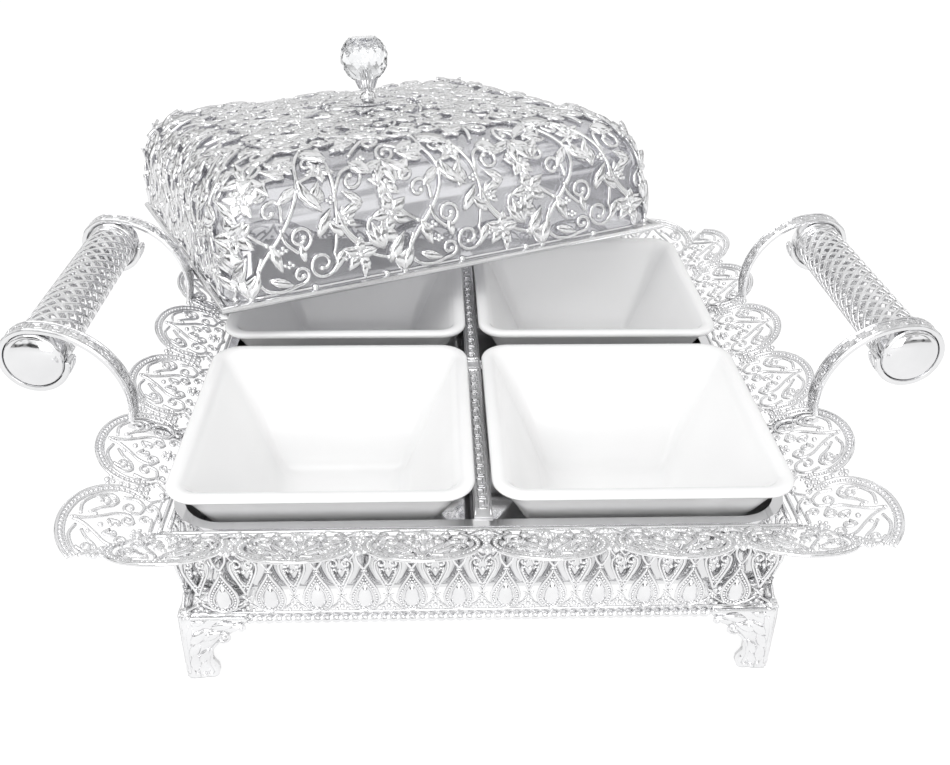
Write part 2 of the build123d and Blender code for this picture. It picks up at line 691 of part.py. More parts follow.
with BuildPart() as knob_nut:
    with BuildSketch(Plane.XY.offset(dome_under_z - knob_washer_thick - 2 * pin_clearance)):
        RegularPolygon(knob_nut_width / 2, 6, major_radius=False)
        Circle(knob_stud_radius + pin_clearance, mode=Mode.SUBTRACT)
    extrude(amount=-knob_nut_height)
save_on_lid(knob_nut.part, "knob_nut")
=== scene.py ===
import math
import bpy
import numpy as np
from mathutils import Matrix


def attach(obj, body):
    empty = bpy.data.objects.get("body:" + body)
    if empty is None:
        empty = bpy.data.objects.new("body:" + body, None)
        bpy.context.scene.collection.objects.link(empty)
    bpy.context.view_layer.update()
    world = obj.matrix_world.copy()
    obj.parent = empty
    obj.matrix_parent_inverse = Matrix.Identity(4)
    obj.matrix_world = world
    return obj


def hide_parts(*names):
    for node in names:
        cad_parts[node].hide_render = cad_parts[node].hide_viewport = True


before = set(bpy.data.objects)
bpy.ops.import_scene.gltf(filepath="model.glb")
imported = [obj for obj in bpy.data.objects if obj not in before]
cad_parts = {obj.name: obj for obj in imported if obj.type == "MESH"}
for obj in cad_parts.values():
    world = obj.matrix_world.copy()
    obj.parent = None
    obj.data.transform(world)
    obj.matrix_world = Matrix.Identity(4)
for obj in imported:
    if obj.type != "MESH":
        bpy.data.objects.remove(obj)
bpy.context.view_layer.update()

# Silver-plated sweet dish: a footed tray with four bowls, and a domed lid that lies askew on it.
# Lengths are in millimetres and angles in degrees; makePiece turns them to metres.
mm = 0.001
sides = {"front": 0, "right": 90, "back": 180, "left": 270}
cornerTurns = {"front_right": 0, "back_right": 90, "back_left": 180, "front_left": 270}
handleSides = {"left": -1, "right": 1}
ends = {"front": -1, "back": 1}


# linear colour of an sRGB hex code
def shade(code):
    parts = [int(code[i:i + 2], 16) / 255 for i in (1, 3, 5)]
    return [c / 12.92 if c <= 0.04045 else ((c + 0.055) / 1.055) ** 2.4 for c in parts] + [1.0]


# one node with its properties, input values and incoming links, and a ramp's colour stops
def addNode(tree, kind, settings=None, inputs=None, links=None, stops=()):
    node = tree.nodes.new(kind)
    for key, value in (settings or {}).items():
        setattr(node, key, value)
    for key, value in (inputs or {}).items():
        node.inputs[key].default_value = value
    for key, socket in (links or {}).items():
        tree.links.new(socket, node.inputs[key])
    if stops:
        band = node.color_ramp.elements
        band.remove(band[1])
        band[0].position = stops[0][0]
        band[0].color = shade(stops[0][1])
        for place, code in stops[1:]:
            band.new(place).color = shade(code)
    return node


def newMaterial(name):
    material = bpy.data.materials.new(name)
    material.use_nodes = True
    material.node_tree.nodes.clear()
    return material, material.node_tree


# bright silver plate: cloudy polish over cloudSize, and a fine uneven surface over rippleSize
def plateMaterial(name, colours, rough, ripple, rippleSize, cloudSize):
    material, tree = newMaterial(name)
    place = addNode(tree, "ShaderNodeTexCoord").outputs["Object"]
    cloud = addNode(tree, "ShaderNodeTexNoise", inputs={"Scale": 1000 / cloudSize, "Detail": 4},
                    links={"Vector": place})
    polish = addNode(tree, "ShaderNodeMapRange", inputs={"To Min": rough[0], "To Max": rough[1]},
                     links={"Value": cloud.outputs[0]})
    grain = addNode(tree, "ShaderNodeTexNoise", inputs={"Scale": 1000 / rippleSize, "Detail": 3},
                    links={"Vector": place})
    bump = addNode(tree, "ShaderNodeBump", inputs={"Strength": ripple, "Distance": 0.0004},
                   links={"Height": grain.outputs[0]})
    tint = addNode(tree, "ShaderNodeValToRGB", links={0: cloud.outputs[0]},
                   stops=[(0.3, colours[0]), (0.7, colours[1])])
    plate = addNode(tree, "ShaderNodeBsdfPrincipled", inputs={"Metallic": 1.0},
                    links={"Base Color": tint.outputs[0], "Roughness": polish.outputs[0],
                           "Normal": bump.outputs[0]})
    addNode(tree, "ShaderNodeOutputMaterial", links={0: plate.outputs[0]})
    return material


# silver plate, mirror polished: a dark and light mirror inside the pan
polishedPlate = plateMaterial("silver_plate_polished", ("#DADADB", "#E6E6E7"), rough=(0.03, 0.10),
                              ripple=0.05, rippleSize=16.67, cloudSize=55.56)
# silver plate, satin brushed: an even light grey ground under the divider's key pattern
satinPlate = plateMaterial("silver_plate_satin", ("#E4E4E5", "#F0F0F1"), rough=(0.46, 0.56),
                           ripple=0.05, rippleSize=6.25, cloudSize=33.33)
# silver plate over a casting: the brightest, and faintly grainy, on lace, frieze, feet, ropes and scrolls
castPlate = plateMaterial("silver_plate_cast", ("#E2E2E3", "#F2F2F3"), rough=(0.05, 0.14),
                          ripple=0.16, rippleSize=1.4286, cloudSize=22.22)
# silver plate on rolled strip and turned parts: smooth and shiny straps, caps, knob metal and rim wire
brightPlate = plateMaterial("silver_plate_bright", ("#DCDCDD", "#EAEAEB"), rough=(0.05, 0.13),
                            ripple=0.08, rippleSize=6.25, cloudSize=33.33)


# white glazed porcelain: soft white with a gloss that is faintly uneven
def porcelainMaterial(glazeSize=71.43):
    material, tree = newMaterial("white_glazed_porcelain")
    place = addNode(tree, "ShaderNodeTexCoord").outputs["Object"]
    glaze = addNode(tree, "ShaderNodeTexNoise", inputs={"Scale": 1000 / glazeSize, "Detail": 2},
                    links={"Vector": place})
    body = addNode(tree, "ShaderNodeValToRGB", links={0: glaze.outputs[0]},
                   stops=[(0.3, "#F6F6F6"), (0.7, "#FBFBFB")])
    gloss = addNode(tree, "ShaderNodeMapRange", inputs={"To Min": 0.10, "To Max": 0.18},
                    links={"Value": glaze.outputs[0]})
    bump = addNode(tree, "ShaderNodeBump", inputs={"Strength": 0.04, "Distance": 0.001},
                   links={"Height": glaze.outputs[0]})
    china = addNode(tree, "ShaderNodeBsdfPrincipled", inputs={"Specular IOR Level": 0.4},
                    links={"Base Color": body.outputs[0], "Roughness": gloss.outputs[0],
                           "Normal": bump.outputs[0]})
    addNode(tree, "ShaderNodeOutputMaterial", links={0: china.outputs[0]})
    return material


# clear acrylic sheet, thin and faintly grey, more of a mirror where it is seen along its face
def acrylicMaterial(hazeSize=111.1):
    material, tree = newMaterial("clear_acrylic")
    place = addNode(tree, "ShaderNodeTexCoord").outputs["Object"]
    haze = addNode(tree, "ShaderNodeTexNoise", inputs={"Scale": 1000 / hazeSize, "Detail": 3},
                   links={"Vector": place})
    polish = addNode(tree, "ShaderNodeMapRange", inputs={"To Min": 0.03, "To Max": 0.12},
                     links={"Value": haze.outputs[0]})
    clear = addNode(tree, "ShaderNodeBsdfTransparent", inputs={"Color": shade("#EAEAEC")})
    face = addNode(tree, "ShaderNodeBsdfGlossy", inputs={"Color": shade("#EDEDEF")},
                   links={"Roughness": polish.outputs[0]})
    facing = addNode(tree, "ShaderNodeLayerWeight", inputs={"Blend": 0.35})
    share = addNode(tree, "ShaderNodeMapRange", inputs={"To Min": 0.26, "To Max": 0.8},
                    links={"Value": facing.outputs["Facing"]})
    sheet = addNode(tree, "ShaderNodeMixShader",
                    links={0: share.outputs[0], 1: clear.outputs[0], 2: face.outputs[0]})
    addNode(tree, "ShaderNodeOutputMaterial", links={0: sheet.outputs[0]})
    return material


# cut crystal: clear and heavy, its facets slightly varied in polish
def crystalMaterial(facetSize=16.67):
    material, tree = newMaterial("cut_crystal")
    place = addNode(tree, "ShaderNodeTexCoord").outputs["Object"]
    cloud = addNode(tree, "ShaderNodeTexNoise", inputs={"Scale": 1000 / facetSize, "Detail": 2},
                    links={"Vector": place})
    polish = addNode(tree, "ShaderNodeMapRange", inputs={"To Min": 0.0, "To Max": 0.03},
                     links={"Value": cloud.outputs[0]})
    glass = addNode(tree, "ShaderNodeBsdfPrincipled",
                    inputs={"Base Color": shade("#F4F5F6"), "Transmission Weight": 1.0, "IOR": 1.52},
                    links={"Roughness": polish.outputs[0]})
    addNode(tree, "ShaderNodeOutputMaterial", links={0: glass.outputs[0]})
    return material


porcelain = porcelainMaterial()
acrylic = acrylicMaterial()
crystal = crystalMaterial()
print("materials made")


# flat curve through the points, evenly divided
def smoothLine(points, step=1.2):
    knots = np.array(points, float)
    if len(knots) == 2:
        count = max(2, int(np.linalg.norm(knots[1] - knots[0]) / step))
        return knots[0] + (knots[1] - knots[0]) * np.linspace(0, 1, count + 1)[:, None]
    wider = np.vstack([2 * knots[0] - knots[1], knots, 2 * knots[-1] - knots[-2]])
    pieces = []
    for a, b, c, d in zip(wider, wider[1:], wider[2:], wider[3:]):
        count = max(2, int(np.linalg.norm(c - b) / step))
        t = np.linspace(0, 1, count, endpoint=False)[:, None]
        pieces.append(0.5 * (2 * b + (c - a) * t + (2 * a - 5 * b + 4 * c - d) * t ** 2
                             + (3 * b - a - 3 * c + d) * t ** 3))
    return np.vstack(pieces + [knots[-1:]])


# wire through the points that may end in a curl, given by its centre, radius, sense and turns
def vine(points, curl=None, step=1.2):
    line = smoothLine(points, step)
    if not curl:
        return line
    x, y, radius, sense, turns = curl
    first = math.atan2(points[-1][1] - y, points[-1][0] - x)
    count = max(8, int(2 * math.pi * radius * turns / step * 0.7))
    t = np.linspace(0, 1, count + 1)[1:]
    r = radius * (1 - 0.72 * t)
    a = first + sense * 2 * math.pi * turns * t
    return np.vstack([line, np.column_stack([x + r * np.cos(a), y + r * np.sin(a)])])


def arcLine(x, y, rx, ry, start, end, step=1.2):
    count = max(6, int(abs(math.radians(end - start)) * max(rx, ry) / step))
    a = np.radians(np.linspace(start, end, count + 1))
    return np.column_stack([x + rx * np.cos(a), y + ry * np.sin(a)])


# evenly spaced places along a flat line
def beadRow(line, pitch):
    run = np.concatenate([[0], np.cumsum(np.linalg.norm(np.diff(line, axis=0), axis=1))])
    count = max(2, int(round(run[-1] / pitch)))
    stops = np.linspace(0, run[-1], count + 1)
    return np.column_stack([np.interp(stops, run, line[:, 0]), np.interp(stops, run, line[:, 1])])


def mirrored(lines):
    return lines + [line * [-1, 1] for line in lines]


def shifted(lines, x=0.0, y=0.0, scale=1.0, wide=1.0):
    return [line * [wide * scale, scale] + [x, y] for line in lines]


# A shape is its points, its corner indexes and its face sizes, in millimetres.
# This one is a bar along the points: half as wide, high as tall along the normals, ends closed.
def sweep(points, normals, half, high=None, sides=6, closed=False):
    path = np.asarray(points, float)
    upward = np.broadcast_to(np.asarray(normals, float), path.shape)
    high = half if high is None else high
    along = (np.roll(path, -1, 0) - np.roll(path, 1, 0)) if closed else np.gradient(path, axis=0)
    along = along / np.maximum(np.linalg.norm(along, axis=1, keepdims=True), 1e-9)
    across = np.cross(along, upward)
    across = across / np.maximum(np.linalg.norm(across, axis=1, keepdims=True), 1e-9)
    upward = np.cross(across, along)
    a = np.linspace(0, 2 * math.pi, sides, endpoint=False)
    if sides == 4:
        a = a + math.pi / 4
    ring = (path[:, None] + across[:, None] * half * np.cos(a)[None, :, None]
            + upward[:, None] * high * np.sin(a)[None, :, None])
    count = len(path)
    i = np.arange(count if closed else count - 1)[:, None]
    j = np.arange(sides)[None, :]
    k, m = (i + 1) % count, (j + 1) % sides
    quads = np.stack([i * sides + j, k * sides + j, k * sides + m, i * sides + m], -1).reshape(-1, 4)
    loops, sizes = [quads.ravel()], [np.full(len(quads), 4)]
    if not closed:
        loops += [np.arange(sides), (count - 1) * sides + np.arange(sides)[::-1]]
        sizes += [np.array([sides]), np.array([sides])]
    return ring.reshape(-1, 3), np.concatenate(loops), np.concatenate(sizes)


# the same shape with every face turned over
def flipped(shape):
    points, loops, sizes = shape
    last = np.cumsum(sizes)
    owner = np.repeat(np.arange(len(sizes)), sizes)
    within = np.arange(len(loops)) - (last - sizes)[owner]
    return points, loops[last[owner] - 1 - within], sizes


# copies of a blank, one for each 4x4 matrix
def stamp(blank, matrices):
    if not len(matrices):
        return np.zeros((0, 3)), np.zeros(0, int), np.zeros(0, int)
    points, loops, sizes = blank
    m = np.array(matrices)
    moved = np.einsum("mij,vj->mvi", m[:, :3, :3], points) + m[:, None, :3, 3]
    mirror = np.linalg.det(m[:, :3, :3]) < 0
    every = np.where(mirror[:, None], flipped(blank)[1][None], loops[None])
    every = every + np.arange(len(m))[:, None] * len(points)
    return moved.reshape(-1, 3), every.ravel(), np.tile(sizes, len(m))


def join(shapes):
    firsts = np.cumsum([0] + [len(points) for points, loops, sizes in shapes])
    return (np.concatenate([points for points, loops, sizes in shapes]),
            np.concatenate([shape[1] + first for shape, first in zip(shapes, firsts)]),
            np.concatenate([sizes for points, loops, sizes in shapes]))


def turnShape(shape, turn):
    return shape[0] @ turn.T, shape[1], shape[2]


def finishPiece(piece, body, hides):
    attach(piece, body)
    if hides:
        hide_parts(*hides)


# Blender object from shapes, riding on a body
def makePiece(name, shapes, material, body, hides=(), flat=False):
    points, loops, sizes = join(shapes)
    mesh = bpy.data.meshes.new(name)
    mesh.vertices.add(len(points))
    mesh.vertices.foreach_set("co", (points * mm).astype(np.float32).ravel())
    mesh.loops.add(len(loops))
    mesh.loops.foreach_set("vertex_index", loops.astype(np.int32))
    mesh.polygons.add(len(sizes))
    mesh.polygons.foreach_set("loop_start", (np.cumsum(sizes) - sizes).astype(np.int32))
    mesh.update(calc_edges=True)
    mesh.polygons.foreach_set("use_smooth", np.full(len(sizes), not flat))
    mesh.materials.append(material)
    piece = bpy.data.objects.new(name, mesh)
    bpy.context.scene.collection.objects.link(piece)
    finishPiece(piece, body, hides)


# the CAD node's own shape with its seams welded, its curves smooth and its edges eased
def smoothCopy(node, material, body, width=0.0, angle=32):
    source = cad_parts[node]
    piece = bpy.data.objects.new(node + "_finished", source.data.copy())
    bpy.context.scene.collection.objects.link(piece)
    piece.matrix_world = source.matrix_world.copy()
    piece.data.materials.clear()
    piece.data.materials.append(material)
    bpy.ops.object.select_all(action="DESELECT")
    piece.select_set(True)
    bpy.context.view_layer.objects.active = piece
    bpy.ops.object.transform_apply(location=True, rotation=True, scale=True)
    bpy.ops.object.mode_set(mode="EDIT")
    bpy.ops.mesh.select_all(action="SELECT")
    bpy.ops.mesh.remove_doubles(threshold=0.00001)
    bpy.ops.mesh.tris_convert_to_quads()
    bpy.ops.mesh.normals_make_consistent(inside=False)
    bpy.ops.object.mode_set(mode="OBJECT")
    if width:
        bevel = piece.modifiers.new("edge", "BEVEL")
        bevel.width, bevel.segments, bevel.limit_method = width * mm, 2, "ANGLE"
        bevel.angle_limit = math.radians(angle + 8)
        bpy.ops.object.modifier_apply(modifier="edge")
    bpy.ops.object.shade_smooth_by_angle(angle=math.radians(angle))
    finishPiece(piece, body, [node])


# points, corners and face sizes of the active scratch object, which is then removed
def blankOfActive():
    piece = bpy.context.active_object
    points = np.zeros(len(piece.data.vertices) * 3)
    piece.data.vertices.foreach_get("co", points)
    loops = np.zeros(len(piece.data.loops), int)
    piece.data.loops.foreach_get("vertex_index", loops)
    sizes = np.zeros(len(piece.data.polygons), int)
    piece.data.polygons.foreach_get("loop_total", sizes)
    bpy.data.objects.remove(piece)
    return points.reshape(-1, 3), loops, sizes


# closed pad over u 0..1 and v -1..1 whose upper and lower faces are functions of (u, v)
def gridBlank(nx, ny, top, under):
    u, v = np.meshgrid(np.linspace(0, 1, nx + 1), np.linspace(-1, 1, ny + 1), indexing="ij")
    count = (nx + 1) * (ny + 1)
    grid = np.arange(count).reshape(nx + 1, ny + 1)
    a, b, c, d = grid[:-1, :-1], grid[1:, :-1], grid[1:, 1:], grid[:-1, 1:]
    over = np.stack([a, b, c, d], -1).reshape(-1, 4)
    below = np.stack([a, d, c, b], -1).reshape(-1, 4) + count
    edge = np.concatenate([grid[:, 0], grid[-1, 1:], grid[-2::-1, -1], grid[0, -2:0:-1]])
    after = np.roll(edge, -1)
    rim = np.stack([edge, edge + count, after + count, after], -1)
    quads = np.concatenate([over, below, rim])
    points = np.vstack([top(u, v).reshape(-1, 3), under(u, v).reshape(-1, 3)])
    return points, quads.ravel(), np.full(len(quads), 4)


# leaf of unit length along x, grooved along its vein
def leafBlank(width, lift, thick):
    def half(u):
        return width * np.sin(math.pi * np.clip(u, 0.02, 0.985) ** 0.8) ** 0.9

    def top(u, v):
        groove = 0.45 * thick * np.exp(-(v / 0.22) ** 2)
        return np.stack([u, v * half(u),
                         thick * (1 - 0.75 * v ** 2) - groove + lift * np.sin(math.pi * u)], -1)

    def under(u, v):
        return np.stack([u, v * half(u), lift * np.sin(math.pi * u) * 0.6 - 0.02], -1)
    return gridBlank(8, 4, top, under)


def turned(angle, scale=1.0, x=0.0, y=0.0, z=0.0):
    c, s = math.cos(math.radians(angle)) * scale, math.sin(math.radians(angle)) * scale
    return np.array([[c, -s, 0, x], [s, c, 0, y], [0, 0, scale, z], [0, 0, 0, 1.0]])


# what repeats is modelled once: a bead, a slim leaf, a broad leaf, and a flower of five broad petals
bpy.ops.object.select_all(action="DESELECT")
bpy.ops.mesh.primitive_ico_sphere_add(subdivisions=2, radius=1)
bead = blankOfActive()
leaf = leafBlank(width=0.20, lift=0.05, thick=0.13)
broad = leafBlank(width=0.34, lift=0.06, thick=0.16)
flowerPetals = [turned(a, 0.92, 0.08 * math.cos(math.radians(a)), 0.08 * math.sin(math.radians(a)))
                for a in range(0, 360, 72)]
flower = join([stamp(broad, flowerPetals), stamp(bead, [turned(0, 0.2, z=0.14)])])
print("blanks made")


def sideTurn(angle):
    return turned(angle)[:3, :3]


# Each surface below takes flat x and y and a lift, and gives points and normals.
lace = {"inner": 134.97, "z": 85.0, "slope": 22.52,
        "pitch": {"front": 51.0, "right": 56.0, "back": 51.0, "left": 56.0},
        "rise": 20.5, "wide": 23.6, "tall": 19.6}
laceCos = math.cos(math.radians(lace["slope"]))
laceSin = math.sin(math.radians(lace["slope"]))


def onLace(angle):
    turn = sideTurn(angle)

    def place(x, y, lift):
        x, y, lift = np.broadcast_arrays(np.asarray(x, float), y, lift)
        out = lace["inner"] + y * laceCos - lift * laceSin
        points = np.stack([x, -out, lace["z"] + y * laceSin + lift * laceCos], -1)
        return points @ turn.T, np.broadcast_to([0, laceSin, laceCos], points.shape) @ turn.T
    return place


frieze = {"face": 131.2, "bottom": 38.0, "height": 47.2, "pitch": 20.7, "drops": 12, "reach": 130}


def onFrieze(angle):
    turn = sideTurn(angle)

    def place(x, y, lift):
        x, y, lift = np.broadcast_arrays(np.asarray(x, float), y, lift)
        points = np.stack([x, -(frieze["face"] + lift), frieze["bottom"] + y], -1)
        return points @ turn.T, np.broadcast_to([0, -1.0, 0], points.shape) @ turn.T
    return place


# the lid: its place on the left back strap, and the profile of its vault in its own frame
lid = {"contact": (-158.7, 64.0, 111.8), "back": -51.5, "turn": 23.05, "tipBack": 7.84, "tipSide": 0.78,
       "side": 266.0, "half": 128.7, "foot": 4.0, "lean": 3.0, "straight": 38.0, "shoulder": (92.7, 67.0),
       "flat": (26.0, 71.5), "corner": 15.0, "sheet": 2.3, "sheetTop": 1.0}
lidMatrix = (Matrix.Translation(lid["contact"]) @ Matrix.Rotation(math.radians(lid["turn"]), 4, "Z")
             @ Matrix.Rotation(math.radians(-lid["tipBack"]), 4, "X")
             @ Matrix.Rotation(math.radians(-lid["tipSide"]), 4, "Y")
             @ Matrix.Translation((lid["side"] / 2, -lid["back"], 0)))
lidTurn = np.array(lidMatrix.to_3x3())
lidShift = np.array(lidMatrix.translation)


def inLid(points):
    return points @ lidTurn.T + lidShift


# close points of the vault's side profile: a leaning foot, a round shoulder and a low roof
def lidProfile():
    foot = np.array([lid["half"], lid["foot"]])
    top = np.array([lid["half"] - lid["lean"], lid["straight"]])
    end = np.array(lid["shoulder"])
    start = math.atan2(top[1] - foot[1], top[0] - foot[0])
    chord = end - top
    half = math.atan2(chord[1], chord[0]) - start
    radius = np.linalg.norm(chord) / (2 * math.sin(half))
    centre = top + radius * np.array([math.cos(start + math.pi / 2), math.sin(start + math.pi / 2)])
    a = start - math.pi / 2 + np.linspace(0, 2 * half, 40)
    shoulder = centre + radius * np.column_stack([np.cos(a), np.sin(a)])
    return np.vstack([foot + (top - foot) * np.linspace(0, 1, 20)[:-1, None], shoulder,
                      end + (np.array(lid["flat"]) - end) * np.linspace(0, 1, 30)[1:, None],
                      [[0.0, lid["flat"][1]]]])


profile = lidProfile()
profileRun = np.concatenate([[0], np.cumsum(np.linalg.norm(np.diff(profile, axis=0), axis=1))])
shoulderRun = profileRun[58]        # where the shoulder ends
roofRun = 150                       # just short of the middle


# half width and height of the vault at a length up its profile, and the outward direction there
def lidAt(run):
    d, z = np.interp(run, profileRun, profile[:, 0]), np.interp(run, profileRun, profile[:, 1])
    before, after = run - 1.5, run + 1.5
    across = np.interp(after, profileRun, profile[:, 0]) - np.interp(before, profileRun, profile[:, 0])
    upward = np.interp(after, profileRun, profile[:, 1]) - np.interp(before, profileRun, profile[:, 1])
    size = np.maximum(np.hypot(across, upward), 1e-6)
    return d, z, upward / size, -across / size


# plan point u along a rounded square of half width d, moved out by out, and its direction
def ringPoint(d, u, out):
    corner = np.minimum(lid["corner"], 0.45 * d)
    over = np.clip(np.abs(u) - (d - corner), 0, None)
    a = np.clip(over / corner, 0, math.pi / 2) * np.sign(u)
    spare = np.clip(over - corner * math.pi / 2, 0, None)
    x = np.where(over > 0, np.sign(u) * (d - corner) + (corner + out) * np.sin(a), u)
    y = -(d - corner) - (corner + out) * np.cos(a) + spare
    return x, y, np.sin(a), -np.cos(a)


# vault side: x along the foot, y up the profile; squeezed towards the top if asked
def onLid(angle, squeeze=True):
    turn = sideTurn(angle)

    def place(x, y, lift):
        x, y, lift = np.broadcast_arrays(np.asarray(x, float), y, lift)
        d, z, outward, upward = lidAt(y)
        u = x * (d / lid["half"]) if squeeze else x
        px, py, nx, ny = ringPoint(d, u, lift * outward)
        points = np.stack([px, py, z + lift * upward], -1)
        normal = np.stack([nx * outward, ny * outward, upward], -1)
        return inLid(points @ turn.T), normal @ turn.T @ lidTurn.T
    return place


# wires along flat lines on a surface, cut where inside says they are off it
def bars(surface, lines, half, high=None, lift=1.0, sides=6, inside=None):
    out = []
    for line in lines:
        runs = [line]
        if inside is not None:
            keep = inside(line[:, 0], line[:, 1])
            cuts = np.flatnonzero(np.diff(keep.astype(int))) + 1
            runs = [r for r in np.split(line, cuts) if len(r) > 2 and inside(r[:1, 0], r[:1, 1])[0]]
        for run in runs:
            points, normals = surface(run[:, 0], run[:, 1], lift)
            out.append(sweep(points, normals, half, high, sides))
    return join(out) if out else stamp(bead, [])


# places for blanks on a surface, each given as (x, y, angle, length)
def spots(surface, places, lift=0.0, inside=None):
    out = []
    for x, y, angle, length in places:
        if inside is not None and not inside(np.array([x]), np.array([y]))[0]:
            continue
        dx, dy = 0.5 * math.cos(math.radians(angle)), 0.5 * math.sin(math.radians(angle))
        points, normals = surface(np.array([x, x + dx]), np.array([y, y + dy]), lift)
        up = normals[0] / np.linalg.norm(normals[0])
        ahead = points[1] - points[0]
        ahead = ahead - up * ahead.dot(up)
        ahead = ahead / max(np.linalg.norm(ahead), 1e-9)
        m = np.eye(4)
        m[:3, :3] = np.column_stack([ahead, np.cross(up, ahead), up]) * length
        m[:3, 3] = points[0]
        out.append(m)
    return out


# beads in a circle about a place
def beadRing(x, y, radius, size, step=60):
    return [(x + radius * math.cos(a), y + radius * math.sin(a), 0, size)
            for a in np.radians(np.arange(0, 360, step))]


# plan of a rounded square, anticlockwise
def squareRing(half, corner, count):
    out = []
    for k, (sx, sy) in enumerate([(1, 1), (-1, 1), (-1, -1), (1, -1)]):
        a = math.radians(90 * k) + np.linspace(0, math.pi / 2, count)
        out.append((half - corner) * np.array([sx, sy]) + corner * np.column_stack([np.cos(a), np.sin(a)]))
    return np.vstack(out)


# closed shell through rounded squares, each (half, corner, z), with both ends closed
def ringLoft(squares, centre=(0, 0), count=9):
    rings = [np.column_stack([squareRing(half, corner, count) + centre, np.full(4 * count, z)])
             for half, corner, z in squares]
    n, m = len(rings), 4 * count
    i, j = np.arange(n - 1)[:, None], np.arange(m)[None, :]
    k = (j + 1) % m
    quads = np.stack([i * m + j, i * m + k, (i + 1) * m + k, (i + 1) * m + j], -1).reshape(-1, 4)
    loops = np.concatenate([quads.ravel(), np.arange(m)[::-1], (n - 1) * m + np.arange(m)])
    return np.vstack(rings), loops, np.concatenate([np.full(len(quads), 4), [m, m]])


# bowls: square tapered dishes with a soft turned lip
bowl = {"half": 65.0, "base": 34.0, "bottom": 43.8, "height": 60.0, "wall": 3.2, "lip": 4.0, "thick": 4.0,
        "x": 68.5, "y": 70.5}


def bowlSquares():
    top, out = bowl["bottom"] + bowl["height"], bowl["half"] - bowl["lip"]
    rise = bowl["height"] - bowl["thick"]
    squares = [(bowl["base"] - 2.5, 4.0, bowl["bottom"])]
    for t, inset in ((0.015, 0.7), (0.05, 0.1), (0.1, 0), (0.35, 0), (0.6, 0), (0.85, 0), (0.97, 0)):
        squares.append((bowl["base"] + (out - bowl["base"]) * t - inset, 3 + 8 * t,
                        bowl["bottom"] + rise * t + 0.2))
    # round the lip, from under its edge to the inner wall: out, corner, down from the top
    for further, corner, down in ((1.2, 11.4, 3.9), (3.0, 13, 3.4), (3.8, 13.8, 2.4), (4.0, 14, 1.4),
                                  (3.6, 13.7, 0.5), (2.8, 13, 0), (0.6, 11, 0), (-1.2, 9.6, 0.4),
                                  (-2.6, 8.8, 1.6)):
        squares.append((out + further, corner, top - down))
    inner, low = bowl["base"] - bowl["wall"] + 0.5, bowl["bottom"] + bowl["wall"]
    for t in (0.92, 0.7, 0.45, 0.2, 0.1):
        squares.append((inner + (out - bowl["wall"] - inner) * t, 3 + 6 * t, low + (top - low - 2) * t))
    for further, corner, up in ((0.6, 4.0, 2.8), (-1.2, 4.6, 1.1), (-4, 5, 0.25), (-8, 5, 0)):
        squares.append((inner + further, corner, low + up))
    return squares


for end, sy in ends.items():
    for side, sx in handleSides.items():
        name = f"bowl_{end}_{side}"
        shape = ringLoft(bowlSquares(), (sx * bowl["x"], sy * bowl["y"]), 11)
        makePiece(f"porcelain_{end}_{side}", [shape], porcelain, name, [name])
print("bowls made")

# pieces that keep their CAD shape, with smooth curves and eased edges
smoothCopy("pan", polishedPlate, "tray", angle=40)
for node in ("divider_lengthwise", "divider_crosswise"):
    smoothCopy(node, satinPlate, "tray", 0.25)
for side in handleSides:
    for end in ends:
        smoothCopy(f"handle_strap_{side}_{end}", brightPlate, "tray", 0.35)
    smoothCopy(f"grip_tie_rod_{side}", castPlate, "tray")
for node in ("handle_rivets", "foot_screws"):
    smoothCopy(node, brightPlate, "tray", 0.2)
for node in ("lid_rim_wire", "knob_stem", "knob_collar", "knob_washer", "knob_nut"):
    smoothCopy(node, brightPlate, "lid")
print("kept shapes finished")

# lace flange: lobes of beaded wire round hearts and scrolls
lobeRim = [arcLine(0, lace["rise"], lace["wide"], lace["tall"], -26, 206)]
lobeInner = [arcLine(0, lace["rise"], 20.9, 16.9, -16, 196)]
lobePearls = [arcLine(0, lace["rise"], 22.2, 18.2, -20, 200)]
lobeScrolls = mirrored([
    vine([(0.5, 36), (1.6, 31.5), (5, 26), (9, 20.5), (9.6, 15), (6.4, 12.4)], (6.4, 15.2, 2.8, -1, 0.9), 0.9),
    vine([(3.6, 34), (10, 34.8), (16.5, 31), (19.4, 25.4), (16.8, 21.8), (12.8, 23.4), (9.6, 27.6), (5.6, 31)],
         None, 0.9),
    vine([(15.6, 30.6), (17, 27.2)], (14.4, 27.0, 2.6, -1, 0.9), 0.9),
    vine([(19.6, 20.4), (20.6, 14.6), (17.4, 10.6), (12.8, 11.6), (11.4, 15.8)],
         (14.4, 16.2, 3.0, -1, 0.9), 0.9),
    vine([(1.2, 20.5), (4.2, 22.5), (4.6, 19.4)], (2.9, 18.9, 1.7, -1, 0.8), 0.8),
    vine([(0, 3), (4.4, 4.8), (9.4, 5.2), (11.6, 8)], (9.6, 8.8, 2.1, 1, 0.8), 0.9),
    vine([(11, 2.6), (16, 3.4), (19.6, 6.4)], (17.4, 7.8, 2.5, 1, 0.8), 0.9)])
lobeBeads = [(0, 8.6, 1.7), (0, 24, 1.3), (5, 27.5, 1.0), (-5, 27.5, 1.0), (9.5, 6, 1.2), (-9.5, 6, 1.2),
             (14.5, 22.5, 1.1), (-14.5, 22.5, 1.1), (0, 35.4, 1.0)]
# between two lobes: a stem of beads over a pair of small curls
valleyBeads = [(0, 5, 1.5), (-3, 4, 1.0), (3, 4, 1.0), (0, 20, 1.1), (0, 29, 1.4), (-2.4, 28, 1.1),
               (2.4, 28, 1.1), (0, 26.4, 1.1), (0, 23, 1.0)]
valleyCurls = mirrored([vine([(0, 2), (3.5, 5), (6.5, 8.5)], (4.8, 10.0, 2.0, 1, 0.7), 0.9)])

